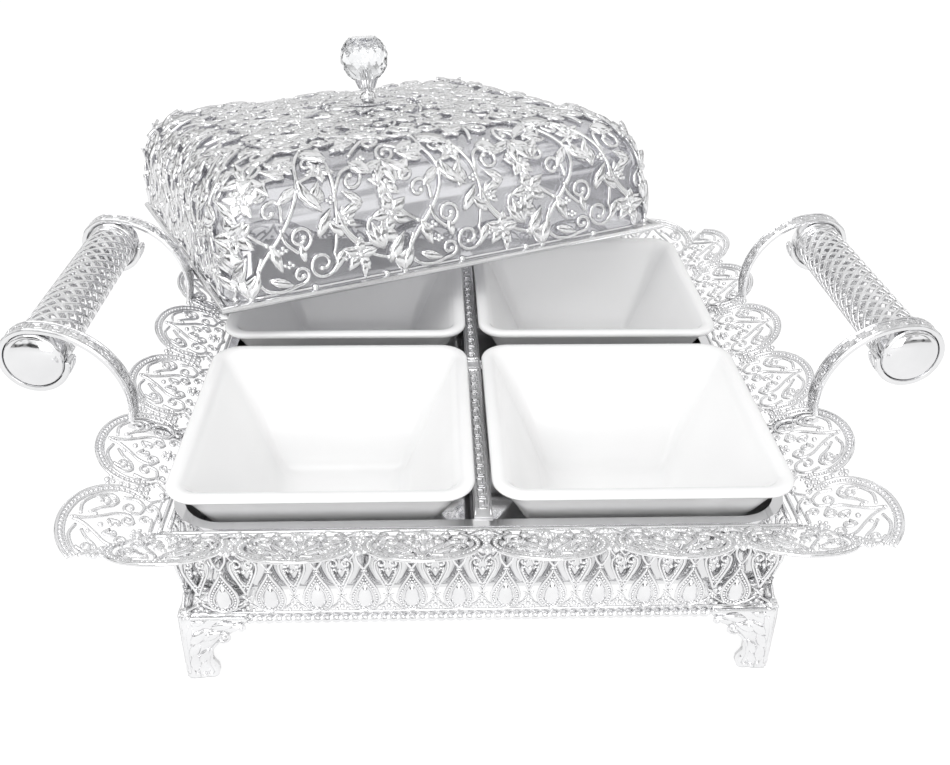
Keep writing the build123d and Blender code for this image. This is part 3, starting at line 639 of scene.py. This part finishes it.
for side, angle in sides.items():
    surface = onLace(angle)
    pitch, inner = lace["pitch"][side], lace["inner"]
    wide = pitch / lace["pitch"]["front"]

    def onSheet(x, y):
        return (np.abs(x) < inner + y * laceCos - 0.3) & (y > 0.4)

    parts, pearls, beads = [], [], []
    for k in range(-1, 5):          # four whole lobes and one at each end, clipped by the mitre
        x = (k - 1.5) * pitch
        parts += [bars(surface, shifted(lobeRim, x, wide=wide), 0.95, 0.85, inside=onSheet),
                  bars(surface, shifted(lobeInner, x, wide=wide), 0.65, 0.65, 1.1, inside=onSheet),
                  bars(surface, shifted(lobeScrolls, x, 0, 0.97, 0.94 * wide), 0.85, 0.75, inside=onSheet)]
        pearls += [(px, py, 0, 0.95) for px, py in beadRow(shifted(lobePearls, x, wide=wide)[0], 2.3)]
        beads += [(x + dx * wide, dy, 0, size) for dx, dy, size in lobeBeads]
        beads += [(x + dx * wide, dy, 0, size) for dx, dy, turn, size in beadRing(0, 8.6, 2.6, 0.95)]
    for k in range(7):
        x = (k - 3) * pitch
        beads += [(x, 14, 0, 1.3)] + beadRing(x, 14, 2.7, 1.15)
        beads += [(x + dx, dy, 0, size) for dx, dy, size in valleyBeads]
        parts.append(bars(surface, shifted(valleyCurls, x), 0.7, 0.65, inside=onSheet))
    for sx in (-1, 1):
        mitre = smoothLine([(sx * (inner + reach * laceCos), reach) for reach in (2, 27)])
        parts.append(bars(surface, [mitre], 0.8))
    parts += [bars(surface, [smoothLine([(-inner - 1, 1.0), (inner + 1, 1.0)], 8)], 1.0),
              bars(surface, [smoothLine([(-inner - 3, 4.2), (inner + 3, 4.2)], 8)], 0.5, 0.6),
              stamp(bead, spots(surface, pearls, 1.1, onSheet)),
              stamp(bead, spots(surface, beads, 1.0, onSheet))]
    makePiece(f"lace_scrollwork_{side}", parts, castPlate, "tray", [f"lace_{side}"])
print("lace made")


# outline of a drop, round below and drawn up to a point, scaled about its middle
def dropLine(size):
    half = [(0, 23.4), (1.5, 20.2), (3.7, 16.4), (5.7, 12), (6.3, 7.8), (4.7, 3.6), (0, 1.5)]
    half = [(x * size, 8 + (y - 8) * size) for x, y in half]
    return smoothLine(half + [(-x, y) for x, y in half[-2::-1]], 0.9)


# frieze: beaded drops with an egg, between inverted hearts over fans; each wire is (lines, half, high, lift)
dropWires = [([dropLine(1.0)], 0.65, 0.9, 2.0),
             ([dropLine(0.66)], 0.4, 0.5, 2.2),
             (mirrored([smoothLine([(0, 25), (2.5, 29.4), (3.0, 33.4), (1.6, 36.2), (0, 37)], 0.8)]),
              0.6, 0.8, 1.8),
             ([smoothLine([(0, 37), (0, 44)]), smoothLine([(-1.3, 24.2), (1.3, 24.2)])], 0.6, 0.8, 1.6)]
heartWires = [(mirrored([vine([(0, 11), (1.5, 15), (3.6, 20), (5.4, 25), (5.3, 29.2), (3.2, 31.2)],
                              (2.9, 28.6, 2.4, 1, 0.9), 0.8)]), 0.6, 0.9, 1.9),
              (mirrored([vine([(0, 15.5), (2.4, 20), (3.6, 23.5)], (2.2, 24.2, 1.5, 1, 0.6), 0.7)]),
               0.45, 0.6, 1.9),
              (mirrored([vine([(0, 31), (2.8, 34.5), (3.4, 39), (1.2, 43)], None, 0.8),
                         vine([(4, 30), (6.6, 34), (8.6, 39)], (7.0, 40.4, 1.9, 1, 0.8), 0.8)]), 0.5, 0.8, 1.7),
              (mirrored([vine([(0.8, 6), (3.8, 3.6), (6.6, 1.8)], None, 0.8)]), 0.55, 0.8, 1.7)]
heartBeads = [(0, 8.3, 1.0), (0, 38, 1.5), (0, 24.5, 1.1), (0, 34.5, 1.1), (0, 3.6, 1.2), (-2.4, 2.2, 0.9),
              (2.4, 2.2, 0.9)]
heartBeads += [(sx * 3.9 * t ** 0.85, 13.4 + 13 * t, 0.55) for t in np.linspace(0.12, 0.9, 7) for sx in (-1, 1)]
# an egg: a bead drawn long, slimmer towards its upper end
eggPoints = bead[0] * [7.2, 3.5, 2.6]
eggTaper = 1 - 0.42 * np.clip(eggPoints[:, :1] / 6.9, -1, 1)
egg = (eggPoints * np.hstack([np.ones_like(eggTaper), eggTaper, eggTaper]) + [2.2, 0, 0], bead[1], bead[2])


def onPanel(x, y):
    return np.abs(x) < frieze["reach"]


for side, angle in sides.items():
    surface = onFrieze(angle)
    parts, rowBeads, eggs, beads, petals = [], [], [], [], []
    for k in range(frieze["drops"]):
        x = (k - (frieze["drops"] - 1) / 2) * frieze["pitch"]
        parts += [bars(surface, shifted(lines, x), half, high, lift) for lines, half, high, lift in dropWires]
        rowBeads += [(x + dx, dy, 0, 0.62) for dx, dy in beadRow(dropLine(0.83), 1.5)]
        eggs.append((x, 7.6, 90, 1.0))
    for k in range(frieze["drops"] + 1):
        x = (k - frieze["drops"] / 2) * frieze["pitch"]
        parts += [bars(surface, shifted(lines, x), half, high, lift) for lines, half, high, lift in heartWires]
        petals += [(x, 8.3, 45 + 90 * quarter, 3.4) for quarter in range(4)]
        beads += [(x + dx, dy, 0, size) for dx, dy, size in heartBeads]
    for y, half, reach in ((0.6, 0.6, 122), (frieze["height"] - 1.0, 1.0, 129),
                           (frieze["height"] - 3.0, 0.5, 129)):
        parts.append(bars(surface, [smoothLine([(-reach, y), (reach, y)], 12)], half, lift=1.8))
    parts += [stamp(egg, spots(surface, eggs, 1.6)), stamp(bead, spots(surface, rowBeads, 2.3)),
              stamp(bead, spots(surface, beads, 1.9, onPanel)),
              stamp(leaf, spots(surface, petals, 1.6, onPanel))]
    makePiece(f"frieze_drops_{side}", parts, castPlate, "tray", [f"frieze_{side}"])
print("frieze made")

# rope mouldings: two strands laid together
rope = {"half": 104.0, "z": 35.5, "out": 133.6, "strand": 1.32, "lay": 8.5, "off": 1.05}
for side, angle in sides.items():
    x = np.arange(-rope["half"], rope["half"] + 0.01, 0.75)
    turn = sideTurn(angle)
    parts = []
    for phase in (0, math.pi):
        a = 2 * math.pi * x / rope["lay"] + phase
        line = np.column_stack([x, -rope["out"] - rope["off"] * np.cos(a), rope["z"] + rope["off"] * np.sin(a)])
        parts.append(sweep(line @ turn.T, [0, 0, 1.0], rope["strand"], sides=8))
    makePiece(f"rope_strands_{side}", parts, castPlate, "tray", [f"rope_moulding_{side}"])
print("ropes made")

# grips: a tube of crossing ribs between end bands, each band (in from the end, half width)
grip = {"x": 200.0, "z": 131.0, "radius": 11.7, "half": 59.2, "round": 10, "turns": 1.45,
        "rib": (1.25, 0.6), "bands": ((1.2, 1.2), (4.2, 0.7))}


# hoop of directions about the grip's axis
def hoop(a):
    return np.column_stack([np.cos(a), np.zeros_like(a), np.sin(a)])


for side, sx in handleSides.items():
    centre = np.array([sx * grip["x"], 0, grip["z"]])
    parts = []
    y = np.linspace(-grip["half"] + 1, grip["half"] - 1, 120)
    for sense, lift in ((1, 0.0), (-1, 0.25)):
        for k in range(grip["round"]):
            progress = (y + grip["half"]) / (2 * grip["half"])
            normal = hoop(2 * math.pi * (k / grip["round"] + sense * grip["turns"] * progress))
            line = normal * (grip["radius"] + lift) + centre
            line[:, 1] = y
            parts.append(sweep(line, normal, *grip["rib"]))
    normal = hoop(np.linspace(0, 2 * math.pi, 48, endpoint=False))
    for inward, wide in grip["bands"]:
        for sy in (-1, 1):
            ring = normal * (grip["radius"] + 0.2) + centre + [0, sy * (grip["half"] - inward), 0]
            parts.append(sweep(ring, normal, wide, 0.7, closed=True))
    makePiece(f"grip_ribs_{side}", parts, castPlate, "tray", [f"grip_lattice_{side}"])

# end caps, turned: radius and place along the grip, from the inner face over an eased rim to a low dome
capShape = [(11.8, 59.6), (13.2, 60.1), (13.35, 60.8), (13.35, 67.2), (13.1, 68.1), (12.4, 68.7), (11.6, 68.6),
            (11.0, 69.0), (8.6, 69.9), (5.6, 70.5), (2.6, 70.8)]


def capBlank(count=48):
    (radius, y), *others = capShape
    bpy.ops.object.select_all(action="DESELECT")
    bpy.ops.mesh.primitive_circle_add(vertices=count, radius=radius, fill_type="NGON")
    bpy.ops.object.mode_set(mode="EDIT")
    bpy.ops.transform.translate(value=(0, 0, y))
    for nextRadius, nextY in others:
        bpy.ops.mesh.extrude_region_move(TRANSFORM_OT_translate={"value": (0, 0, nextY - y)})
        bpy.ops.transform.resize(value=(nextRadius / radius, nextRadius / radius, 1))
        radius, y = nextRadius, nextY
    bpy.ops.mesh.select_all(action="SELECT")
    bpy.ops.mesh.normals_make_consistent(inside=False)
    bpy.ops.object.mode_set(mode="OBJECT")
    return turnShape(blankOfActive(), np.array([[1.0, 0, 0], [0, 0, 1], [0, -1, 0]]))


cap = capBlank()
for side, sx in handleSides.items():
    for end, sy in ends.items():
        m = np.diag([1.0, sy, 1.0, 1.0])
        m[:3, 3] = sx * grip["x"], 0, grip["z"]
        makePiece(f"cap_turned_{side}_{end}", [stamp(cap, [m])], brightPlate, "tray",
                  [f"handle_cap_{side}_{end}"])
print("grips and caps made")

# key pattern along the straps and the divider strips
keyPitch = 8
keyUnit = [[(-3.4, -1.9), (-3.4, 1.9), (1.6, 1.9), (1.6, -0.7), (-1.2, -0.7), (-1.2, 0.5)],
           [(3.4, 1.9), (3.4, -1.9), (-1.8, -1.9)]]


# square-cornered line through the points, each side divided so that it can follow a curved strap
def keyLine(points):
    line, runs = np.array(points), []
    for k, (a, b) in enumerate(zip(line, line[1:])):
        t = np.linspace(0, 1, 4, endpoint=k == len(line) - 2)
        runs.append(a + (b - a) * t[:, None])
    return np.vstack(runs)


keyLines = [keyLine(points) for points in keyUnit]
strap = {"bend": (163.0, 95.33), "centre": (200.0, 106.84), "big": 38.76, "curl": 14.6, "y": 64.0, "face": 1,
         "curlTurn": 262, "edge": 3.7}
strapAcross, strapUp = np.subtract(strap["bend"], strap["centre"])
strapStart = math.atan2(strapUp, strapAcross) % (2 * math.pi)
strapRise = (strapStart - math.pi / 2) * (strap["big"] + strap["face"])
strapLength = strapRise + math.radians(strap["curlTurn"]) * (strap["curl"] + strap["face"])


# outer face of a strap: x along it from its bend over the top and round the curl, y across
def onStrap(sx, middle):
    def place(x, y, lift):
        x, y, lift = np.broadcast_arrays(np.asarray(x, float), y, lift)
        big, curl, face = strap["big"], strap["curl"], strap["face"]
        rising = x < strapRise
        a = np.where(rising, strapStart - x / (big + face), math.pi / 2 - (x - strapRise) / (curl + face))
        radius = np.where(rising, big, curl) + face + lift
        height = np.where(rising, strap["centre"][1], grip["z"])
        points = np.stack([sx * (grip["x"] + radius * np.cos(a)), middle + sx * y,
                           height + radius * np.sin(a)], -1)
        return points, np.stack([sx * np.cos(a), 0 * a, np.sin(a)], -1)
    return place


for side, sx in handleSides.items():
    parts = []
    for middle in (-strap["y"], strap["y"]):
        surface = onStrap(sx, middle)
        for k in range(int((strapLength - 6) / keyPitch)):
            parts.append(bars(surface, shifted(keyLines, 7 + keyPitch * k), 0.42, lift=0.1, sides=4))
        for y in (-strap["edge"], strap["edge"]):
            parts.append(bars(surface, [smoothLine([(1, y), (strapLength, y)], 1.5)], 0.45, 0.5, 0.1))
    makePiece(f"strap_key_relief_{side}", parts, brightPlate, "tray")

divider = {"z": 88.0, "half": 128.0, "keys": 15, "edge": 3.3, "crossing": 6}


def onDivider(turn):
    def place(x, y, lift):
        x, y, lift = np.broadcast_arrays(np.asarray(x, float), y, lift)
        points = np.stack([x, y, divider["z"] + lift], -1) @ turn.T
        return points, np.broadcast_to([0, 0, 1.0], points.shape)
    return place


parts = []
for angle in (0, 90):
    surface = onDivider(sideTurn(angle))
    for k in range(-divider["keys"], divider["keys"] + 1):
        if k:
            parts.append(bars(surface, shifted(keyLines, keyPitch * k), 0.35, 0.4, 0.1, sides=4))
    for y in (-divider["edge"], divider["edge"]):
        edge = smoothLine([(-divider["half"], y), (divider["half"], y)], 12)
        parts.append(bars(surface, [edge], 0.4, 0.45, 0.1))
    for x in (-divider["crossing"], divider["crossing"]):
        parts.append(bars(surface, [smoothLine([(x, -3.4), (x, 3.4)])], 0.9, 0.9, 0.2))
makePiece("divider_key_relief", parts, castPlate, "tray")
print("key pattern made")

# feet: leaf and scroll relief over two wings that meet at the corner
foot = {"corner": 135.2, "face": 129.2, "thick": 6.0, "top": 37.9, "lug": (116.4, -116.4),
        "boss": (131.6, -131.6, 38.2), "bossSize": (3.4, 3.4, 2.4)}
footEdge = np.array([(0, 13.6), (1, 14.4), (4, 14.2), (8, 12), (14, 12.2), (20, 15.5), (26, 21.5), (31, 28),
                     (34, 31), (36.4, 31.4), (37.9, 31)])        # height, width of the wing there
footWires = [vine([(1.6, 3), (2.0, 14), (2.4, 26), (4.6, 33)]),
             vine([(12, 3), (10.6, 10), (12.6, 17), (17, 23)], (19.4, 25.6, 3.2, 1, 1.1)),
             vine([(4.6, 18), (7, 26), (11, 30)], (12.6, 27.2, 3.2, -1, 1.0)),
             vine([(19, 31), (24, 33), (27, 33)], (27.6, 30.9, 2.0, -1, 0.9)),
             vine([(2, 36.8), (30, 36.8)])]
footLeaves = [(4.4, 4, 84, 13), (3.4, 13, 66, 12), (4, 21, 48, 13), (8.4, 24, 25, 12), (14, 31, 12, 12),
              (7, 9, 64, 11), (20, 29, 20, 9), (12, 34.6, 190, 8)]
footBeads = [(8, 2.2, 0, 1.5), (11.2, 3.0, 0, 1.2), (5, 3, 0, 1.2), (19.4, 25.6, 0, 1.4), (27.6, 30.9, 0, 1.1),
             (12.6, 27.2, 0, 1.4)]
# each wing's own x, y and z directions, and where its lower corner stands
footWings = [([[-1, 0, 0], [0, 0, 1], [0, -1, 0]], [foot["corner"], -foot["face"], 0]),
             ([[0, 1, 0], [0, 0, 1], [1, 0, 0]], [foot["face"], -foot["corner"], 0])]


def wingPlan(u, v):
    y = foot["top"] * u
    return (v + 1) / 2 * np.interp(y, footEdge[:, 0], footEdge[:, 1]), y


def wingTop(u, v):
    swell = 0.9 * (1 - v ** 2) ** 0.5 + 0.35 * np.cos(3 * math.pi * v) * (1 - v ** 2)
    return np.stack([*wingPlan(u, v), foot["thick"] - 1.3 + swell - 2.6 * u ** 14], -1)


def wingUnder(u, v):
    return np.stack([*wingPlan(u, v), np.zeros_like(u)], -1)


def onWing(m):
    def place(x, y, lift):
        x, y, lift = np.broadcast_arrays(np.asarray(x, float), y, lift)
        flat = np.stack([x, y, foot["thick"] - 0.6 + lift], -1)
        return flat @ m[:3, :3].T + m[:3, 3], np.broadcast_to(m[:3, 2], flat.shape)
    return place


wing = flipped(gridBlank(40, 16, wingTop, wingUnder))
bossPlace = np.diag([*foot["bossSize"], 1.0])
bossPlace[:3, 3] = foot["boss"]
for name, angle in cornerTurns.items():
    turn = sideTurn(angle)
    parts = []
    for axes, start in footWings:
        m = np.eye(4)
        m[:3, :3] = turn @ np.array(axes).T
        m[:3, 3] = turn @ start
        surface = onWing(m)
        parts += [stamp(wing, [m]), bars(surface, footWires, 0.8, lift=0.1),
                  stamp(leaf, spots(surface, footLeaves, -0.4)), stamp(bead, spots(surface, footBeads, 0.1))]
    # a lug under the pan, and a low boss that closes the corner between foot and frieze
    parts += [turnShape(ringLoft([(12.8, 2.0, 34.0), (12.9, 2.2, 41.8)], foot["lug"]), turn),
              turnShape(stamp(bead, [bossPlace]), turn)]
    makePiece(f"foot_acanthus_{name}", parts, castPlate, "tray", [f"foot_{name}"])
print("feet made")

# lid: clear vault with rounded corners, down its inner face and up its outer one
vaultOuter = [(lid["half"] + 0.02, lid["corner"], 0.6)]
vaultOuter += [(d, min(lid["corner"], 0.45 * d), z) for d, z in profile[:88:2]]
vaultOuter += [(lid["flat"][0], 0.45 * lid["flat"][0], lid["flat"][1])]
vaultInner = []
for half, corner, z in vaultOuter[::-1]:
    drop = lid["sheet"] if z > 66 else 1.2 if z > 45 else 0
    vaultInner.append((half - (lid["sheet"] if z < 60 else lid["sheetTop"]), corner - 1.5, z - drop))
vault = ringLoft(vaultInner + vaultOuter)
makePiece("dome_vault", [(inLid(vault[0]), vault[1], vault[2])], acrylic, "lid", ["lid_dome"])

# lid scrollwork: one bay of vines, leaves, flowers and berries, repeated round the vault and over it
bay = {"wide": 84.6, "edge": 131.5, "wire": 1.25, "wireHigh": 1.05, "berry": 1.35, "knob": 1.7,
       "topScale": 0.76, "topWire": 1.1, "topStarts": (-96, -32, 32)}
bayVines = [vine([(10, 0), (12, 8), (18, 18), (28, 30), (35, 42), (36, 54), (31, 66), (28, 80)]),
            vine([(40, 80), (50, 66), (57, 52), (59, 36), (57, 20)], (49, 12, 8.5, -1, 1.4)),
            vine([(28, 33), (30, 26), (36, 20)], (38, 27, 7, 1, 1.3)),
            vine([(29, 36), (28.5, 42)], (22.5, 42, 6, 1, 0.9)),
            vine([(17, 20), (14, 12), (17, 4), (26, 1), (36, 3)], (37, 8, 5, 1, 1.2)),
            vine([(2, 56), (4, 42), (12, 32), (20, 26)]),
            vine([(59, 38), (64, 27), (72, 19), (80, 18)], (80, 26, 8, 1, 1.2)),
            vine([(60, 30), (68, 20), (78, 12), (86, 9)]),
            vine([(58, 44), (60, 52)], (68, 52, 8, -1, 1.2)),
            vine([(66, 66), (72, 78)], (80, 78, 8, -1, 1.5)),
            vine([(36, 54), (44, 58), (46, 66)], (40, 66, 6, 1, 1.2)),
            vine([(20, 60), (14, 68), (6, 72)], (6, 65, 7, 1, 1.3)),
            vine([(31, 66), (24, 60), (16, 58)], (16, 52, 6, 1, 1.1)),
            vine([(84, 30), (90, 38), (88, 46), (82, 52)])]
bayLeaves = [(36, 52, 220, 13), (36, 52, 320, 16), (22, 26, 290, 14), (48, 26, 60, 14), (10, 0, 70, 14),
             (10, 0, 112, 14), (2, 6, 60, 16), (6, 3, 50, 12), (72, 10, 270, 9), (62, 18, 240, 12),
             (62, 24, 130, 12), (84, 14, 90, 14), (84, 14, 112, 14), (84, 14, 132, 13), (88, 60, 200, 14),
             (88, 60, 250, 14), (88, 60, 290, 14), (88, 60, 330, 14), (45, 42, 120, 13), (45, 42, 70, 12),
             (28, 58, 160, 12), (26, 72, 210, 14), (52, 74, 20, 14), (62, 72, 120, 12), (74, 40, 200, 12),
             (74, 40, 150, 11), (40, 14, 100, 10), (12, 48, 130, 12), (12, 48, 60, 12), (20, 8, 340, 12)]
bayBroad = [(30, 76, 330, 18), (50, 50, 250, 12), (8, 18, 150, 12), (66, 62, 330, 14)]
bayFlowers = [(70, 13, 10, 8.5), (5, 32, 40, 9.5), (88, 48, 20, 8.0), (48, 60, 70, 7.0), (22, 66, 15, 7.0),
              (64, 33, 30, 6.0)]
bayBerries = [(x + dx, y + dy, 0, bay["berry"])
              for x, y in ((31, 13), (56, 42), (62, 12), (28, 21), (40, 74), (74, 62))
              for dx, dy in ((0, 0), (2.2, 0.8), (-2.0, 1.2), (0.4, 2.4))]
vineEnds = [(line[-1][0], line[-1][1], 0, bay["knob"]) for line in bayVines]


def moved(places, x, y, scale, grow=1.0):
    return [(x + px * scale, y + py * scale, angle, length * scale * grow) for px, py, angle, length in places]


def scrollParts(surface, x, y, scale, inside, wire):
    def stamped(blank, places, lift=0.9, grow=1.0):
        return stamp(blank, spots(surface, moved(places, x, y, scale, grow), lift, inside))
    return [bars(surface, shifted(bayVines, x, y, scale), wire, bay["wireHigh"], 1.4, inside=inside),
            stamped(leaf, bayLeaves, grow=1.15), stamped(broad, bayBroad),
            stamped(flower, bayFlowers, grow=1.2),
            stamped(bead, bayBerries + vineEnds, 1.4)]


def onSide(x, y):
    return (np.abs(x) < bay["edge"]) & (y >= -0.1)


for side, angle in sides.items():
    surface = onLid(angle)
    starts = [(k - 1.5) * bay["wide"] for k in range(3)]
    parts = []
    for start in starts:
        parts += scrollParts(surface, start, 0.4, 1.0, onSide, bay["wire"])
    # a leafy stem up the corner, knots where the stems meet the rim wire, and a low wire between them
    stem = vine([(126, 0), (129.5, 20), (125, 40), (129, 60), (127, 82)])
    climb = [(127 + 1.5 * (-1) ** k, 5 + 9 * k, 90 + 48 * (-1) ** k, 14) for k in range(9)]
    knots = [(start + x, 0.6, 0, 2.2) for start in starts for x in (10, 44, 84)]
    parts += [bars(surface, [stem], 1.0, lift=1.35), stamp(leaf, spots(surface, climb, 1.0)),
              stamp(bead, spots(surface, knots, 0.6)),
              bars(surface, [smoothLine([(-120, 0.6), (120, 0.6)], 10)], 0.8, lift=0.9)]
    makePiece(f"scroll_cage_{side}", parts, castPlate, "lid", [f"lid_scrolls_{side}"])


def onRoof(x, y):
    return (np.abs(x) < lidAt(y)[0] - 1.0) & (y < roofRun + 2)


# plane of the crown, in the lid's own frame
def onCrown(x, y, lift):
    x, y, lift = np.broadcast_arrays(np.asarray(x, float), y, lift)
    points = np.stack([x, y, lid["flat"][1] + lift], -1)
    return inLid(points), np.broadcast_to([0, 0, 1.0], points.shape) @ lidTurn.T


crown = {"radius": 13.0, "petals": 12, "ring": 13.2, "beadsAt": 27}
topParts = []
for angle in sides.values():
    surface = onLid(angle, squeeze=False)
    for x in bay["topStarts"]:
        topParts += scrollParts(surface, x, shoulderRun + 1, bay["topScale"], onRoof, bay["topWire"])
    # a leafy ridge from the shoulder's corner to the crown
    leafRuns = np.arange(shoulderRun - 2, roofRun, 8.5)
    ridgeRuns = np.arange(shoulderRun, roofRun, 2)
    row = [(float(lidAt(run)[0]) - 3, run, 135 + 40 * (-1) ** k, 13) for k, run in enumerate(leafRuns)]
    ridge = np.column_stack([lidAt(ridgeRuns)[0], ridgeRuns])
    topParts += [stamp(leaf, spots(surface, row, 1.0)), bars(surface, [ridge], 0.9, lift=1.35)]
petals = [(crown["radius"] * math.cos(a), crown["radius"] * math.sin(a), math.degrees(a), crown["radius"])
          for a in np.radians(np.arange(crown["petals"]) * 360 / crown["petals"])]
topParts += [stamp(broad, spots(onCrown, petals, 0.7)),
             bars(onCrown, [arcLine(0, 0, crown["ring"], crown["ring"], 0, 352)], 0.9, lift=1.2),
             stamp(bead, spots(onCrown, beadRing(0, 0, crown["beadsAt"], 1.2, 15), 0.9))]
makePiece("scroll_cage_top", topParts, castPlate, "lid", ["lid_scrolls_top"])
print("lid scrollwork made")

# crystal ball, cut in belts of staggered facets
ball = {"radius": 15.0, "bottom": 89.4, "facets": 14, "belts": [-55, -39, -23, -8, 8, 23, 39, 55]}
ballMiddle = ball["bottom"] + ball["radius"] * math.sin(math.radians(-ball["belts"][0]))
facets, beltCount = ball["facets"], len(ball["belts"])
rings = []
for k, belt in enumerate(ball["belts"]):
    a = 2 * math.pi * (np.arange(facets) + (k % 2) / 2) / facets
    across, up = math.cos(math.radians(belt)), math.sin(math.radians(belt))
    rings.append(ball["radius"] * np.column_stack([across * np.cos(a), across * np.sin(a), np.full(facets, up)])
                 + [0, 0, ballMiddle])
triangles = []
for k in range(beltCount - 1):
    for j in range(facets):
        a, b = k * facets + j, k * facets + (j + 1) % facets
        c, d = a + facets, b + facets
        triangles += [(a, b, c), (b, d, c)] if k % 2 == 0 else [(a, b, d), (a, d, c)]
loops = np.concatenate([np.array(triangles).ravel(), np.arange(facets)[::-1],
                        (beltCount - 1) * facets + np.arange(facets)])
faceSizes = np.concatenate([np.full(len(triangles), 3), [facets, facets]])
makePiece("cut_crystal_ball", [(inLid(np.vstack(rings)), loops, faceSizes)], crystal, "lid",
          ["crystal_ball"], flat=True)
print("knob made")

# white floor that glows a little, so that it meets the white backdrop without an edge
stage = {"floor": 24, "below": -0.0002, "glow": 0.88, "floorShade": 0.22, "plain": 0.78, "studio": 1.15,
         "seen": 1.0, "frontFill": 2.6, "softbox": 6}
floorMaterial, tree = newMaterial("white_sweep")
glow = addNode(tree, "ShaderNodeEmission", inputs={"Color": shade("#FFFFFF"), "Strength": stage["glow"]})
matt = addNode(tree, "ShaderNodeBsdfDiffuse", inputs={"Color": [stage["floorShade"]] * 3 + [1.0]})
both = addNode(tree, "ShaderNodeAddShader", links={0: glow.outputs[0], 1: matt.outputs[0]})
addNode(tree, "ShaderNodeOutputMaterial", links={0: both.outputs[0]})
bpy.ops.object.select_all(action="DESELECT")
bpy.ops.mesh.primitive_plane_add(size=stage["floor"], location=(0, 0, stage["below"]))
floor = bpy.context.active_object
floor.name = "floor"
floor.data.materials.append(floorMaterial)

# the room: plain white light, but mirrors see soft grey and white patches over a darker skirting
world = bpy.data.worlds.new("soft_white_room")
bpy.context.scene.world = world
world.use_nodes = True
tree = world.node_tree
tree.nodes.clear()
direction = addNode(tree, "ShaderNodeTexCoord").outputs["Generated"]
blobs = addNode(tree, "ShaderNodeTexNoise", inputs={"Scale": 2.6, "Detail": 2}, links={"Vector": direction})
patches = addNode(tree, "ShaderNodeValToRGB", links={0: blobs.outputs[0]},
                  stops=[(0.0, "#343434"), (0.40, "#6A6A6A"), (0.47, "#FFFFFF"), (0.60, "#FFFFFF"),
                         (0.66, "#8A8A8A"), (1.0, "#606060")])
height = addNode(tree, "ShaderNodeSeparateXYZ", links={0: direction})
level = addNode(tree, "ShaderNodeMapRange", inputs={"From Min": 0.0, "From Max": 0.5},
                links={"Value": height.outputs["Z"]})
skirting = addNode(tree, "ShaderNodeValToRGB", links={0: level.outputs[0]},
                   stops=[(0.0, "#8C8C8C"), (0.14, "#646464"), (0.26, "#8C8C8C"), (0.36, "#FFFFFF"),
                          (1.0, "#FFFFFF")])
# a colour mix has its factor at input 0, its colours at 6 and 7, and its result at output 2
banded = addNode(tree, "ShaderNodeMix", {"data_type": "RGBA", "blend_type": "MULTIPLY"}, {0: 0.8},
                 {6: patches.outputs[0], 7: skirting.outputs[0]})
ahead = addNode(tree, "ShaderNodeVectorMath", {"operation": "DOT_PRODUCT"}, {1: (0, 0.85, 0.53)},
                {0: direction})
share = addNode(tree, "ShaderNodeMapRange",
                inputs={"From Min": 0.70, "From Max": 0.92, "To Min": 0.0, "To Max": 0.85},
                links={"Value": ahead.outputs["Value"]})
lit = addNode(tree, "ShaderNodeMix", {"data_type": "RGBA"}, {7: shade("#E2E2E2")},
              {0: share.outputs[0], 6: banded.outputs[2]})
plain = addNode(tree, "ShaderNodeBackground", inputs={"Color": shade("#FFFFFF"), "Strength": stage["plain"]})
studio = addNode(tree, "ShaderNodeBackground", inputs={"Strength": stage["studio"]},
                 links={"Color": lit.outputs[2]})
seen = addNode(tree, "ShaderNodeBackground", inputs={"Color": shade("#FFFFFF"), "Strength": stage["seen"]})
path = addNode(tree, "ShaderNodeLightPath")
room = addNode(tree, "ShaderNodeMixShader",
               links={0: path.outputs["Is Glossy Ray"], 1: plain.outputs[0], 2: studio.outputs[0]})
whole = addNode(tree, "ShaderNodeMixShader",
                links={0: path.outputs["Is Camera Ray"], 1: room.outputs[0], 2: seen.outputs[0]})
addNode(tree, "ShaderNodeOutputWorld", links={0: whole.outputs[0]})


def areaLamp(name, energy, size, location, rotation):
    lamp = bpy.data.objects.new(name, bpy.data.lights.new(name, "AREA"))
    lamp.data.energy, lamp.data.size = energy, size
    lamp.location, lamp.rotation_euler = location, rotation
    bpy.context.scene.collection.objects.link(lamp)


areaLamp("front_fill", stage["frontFill"], 0.5, (0.0, -1.0, 0.33), (1.35, 0, 0))
areaLamp("softbox", stage["softbox"], 0.9, (-0.5, -0.7, 1.3), (0.5, -0.36, 0))

# camera, in metres: its place and angles fitted to the bowls' rims
view = {"lens": 37.76, "sensor": 36, "at": (-0.0201, -0.4621, 0.3571), "down": 31.23, "yaw": 2.66, "roll": 0.99}
down, yaw, roll = (math.radians(view[key]) for key in ("down", "yaw", "roll"))
forward = np.array([math.sin(yaw) * math.cos(down), math.cos(yaw) * math.cos(down), -math.sin(down)])
level = np.array([math.cos(yaw), -math.sin(yaw), 0])
above = np.cross(level, forward)
pose = np.eye(4)
pose[:3, 0] = math.cos(roll) * level + math.sin(roll) * above
pose[:3, 1] = -math.sin(roll) * level + math.cos(roll) * above
pose[:3, 2] = -forward
pose[:3, 3] = view["at"]
camera = bpy.data.objects.new("camera", bpy.data.cameras.new("camera"))
camera.data.lens, camera.data.sensor_width, camera.data.clip_start = view["lens"], view["sensor"], 0.01
camera.matrix_world = Matrix(pose.tolist())
bpy.context.scene.collection.objects.link(camera)
bpy.context.scene.camera = camera
bpy.context.scene.view_settings.view_transform = "Standard"
print("stage set")
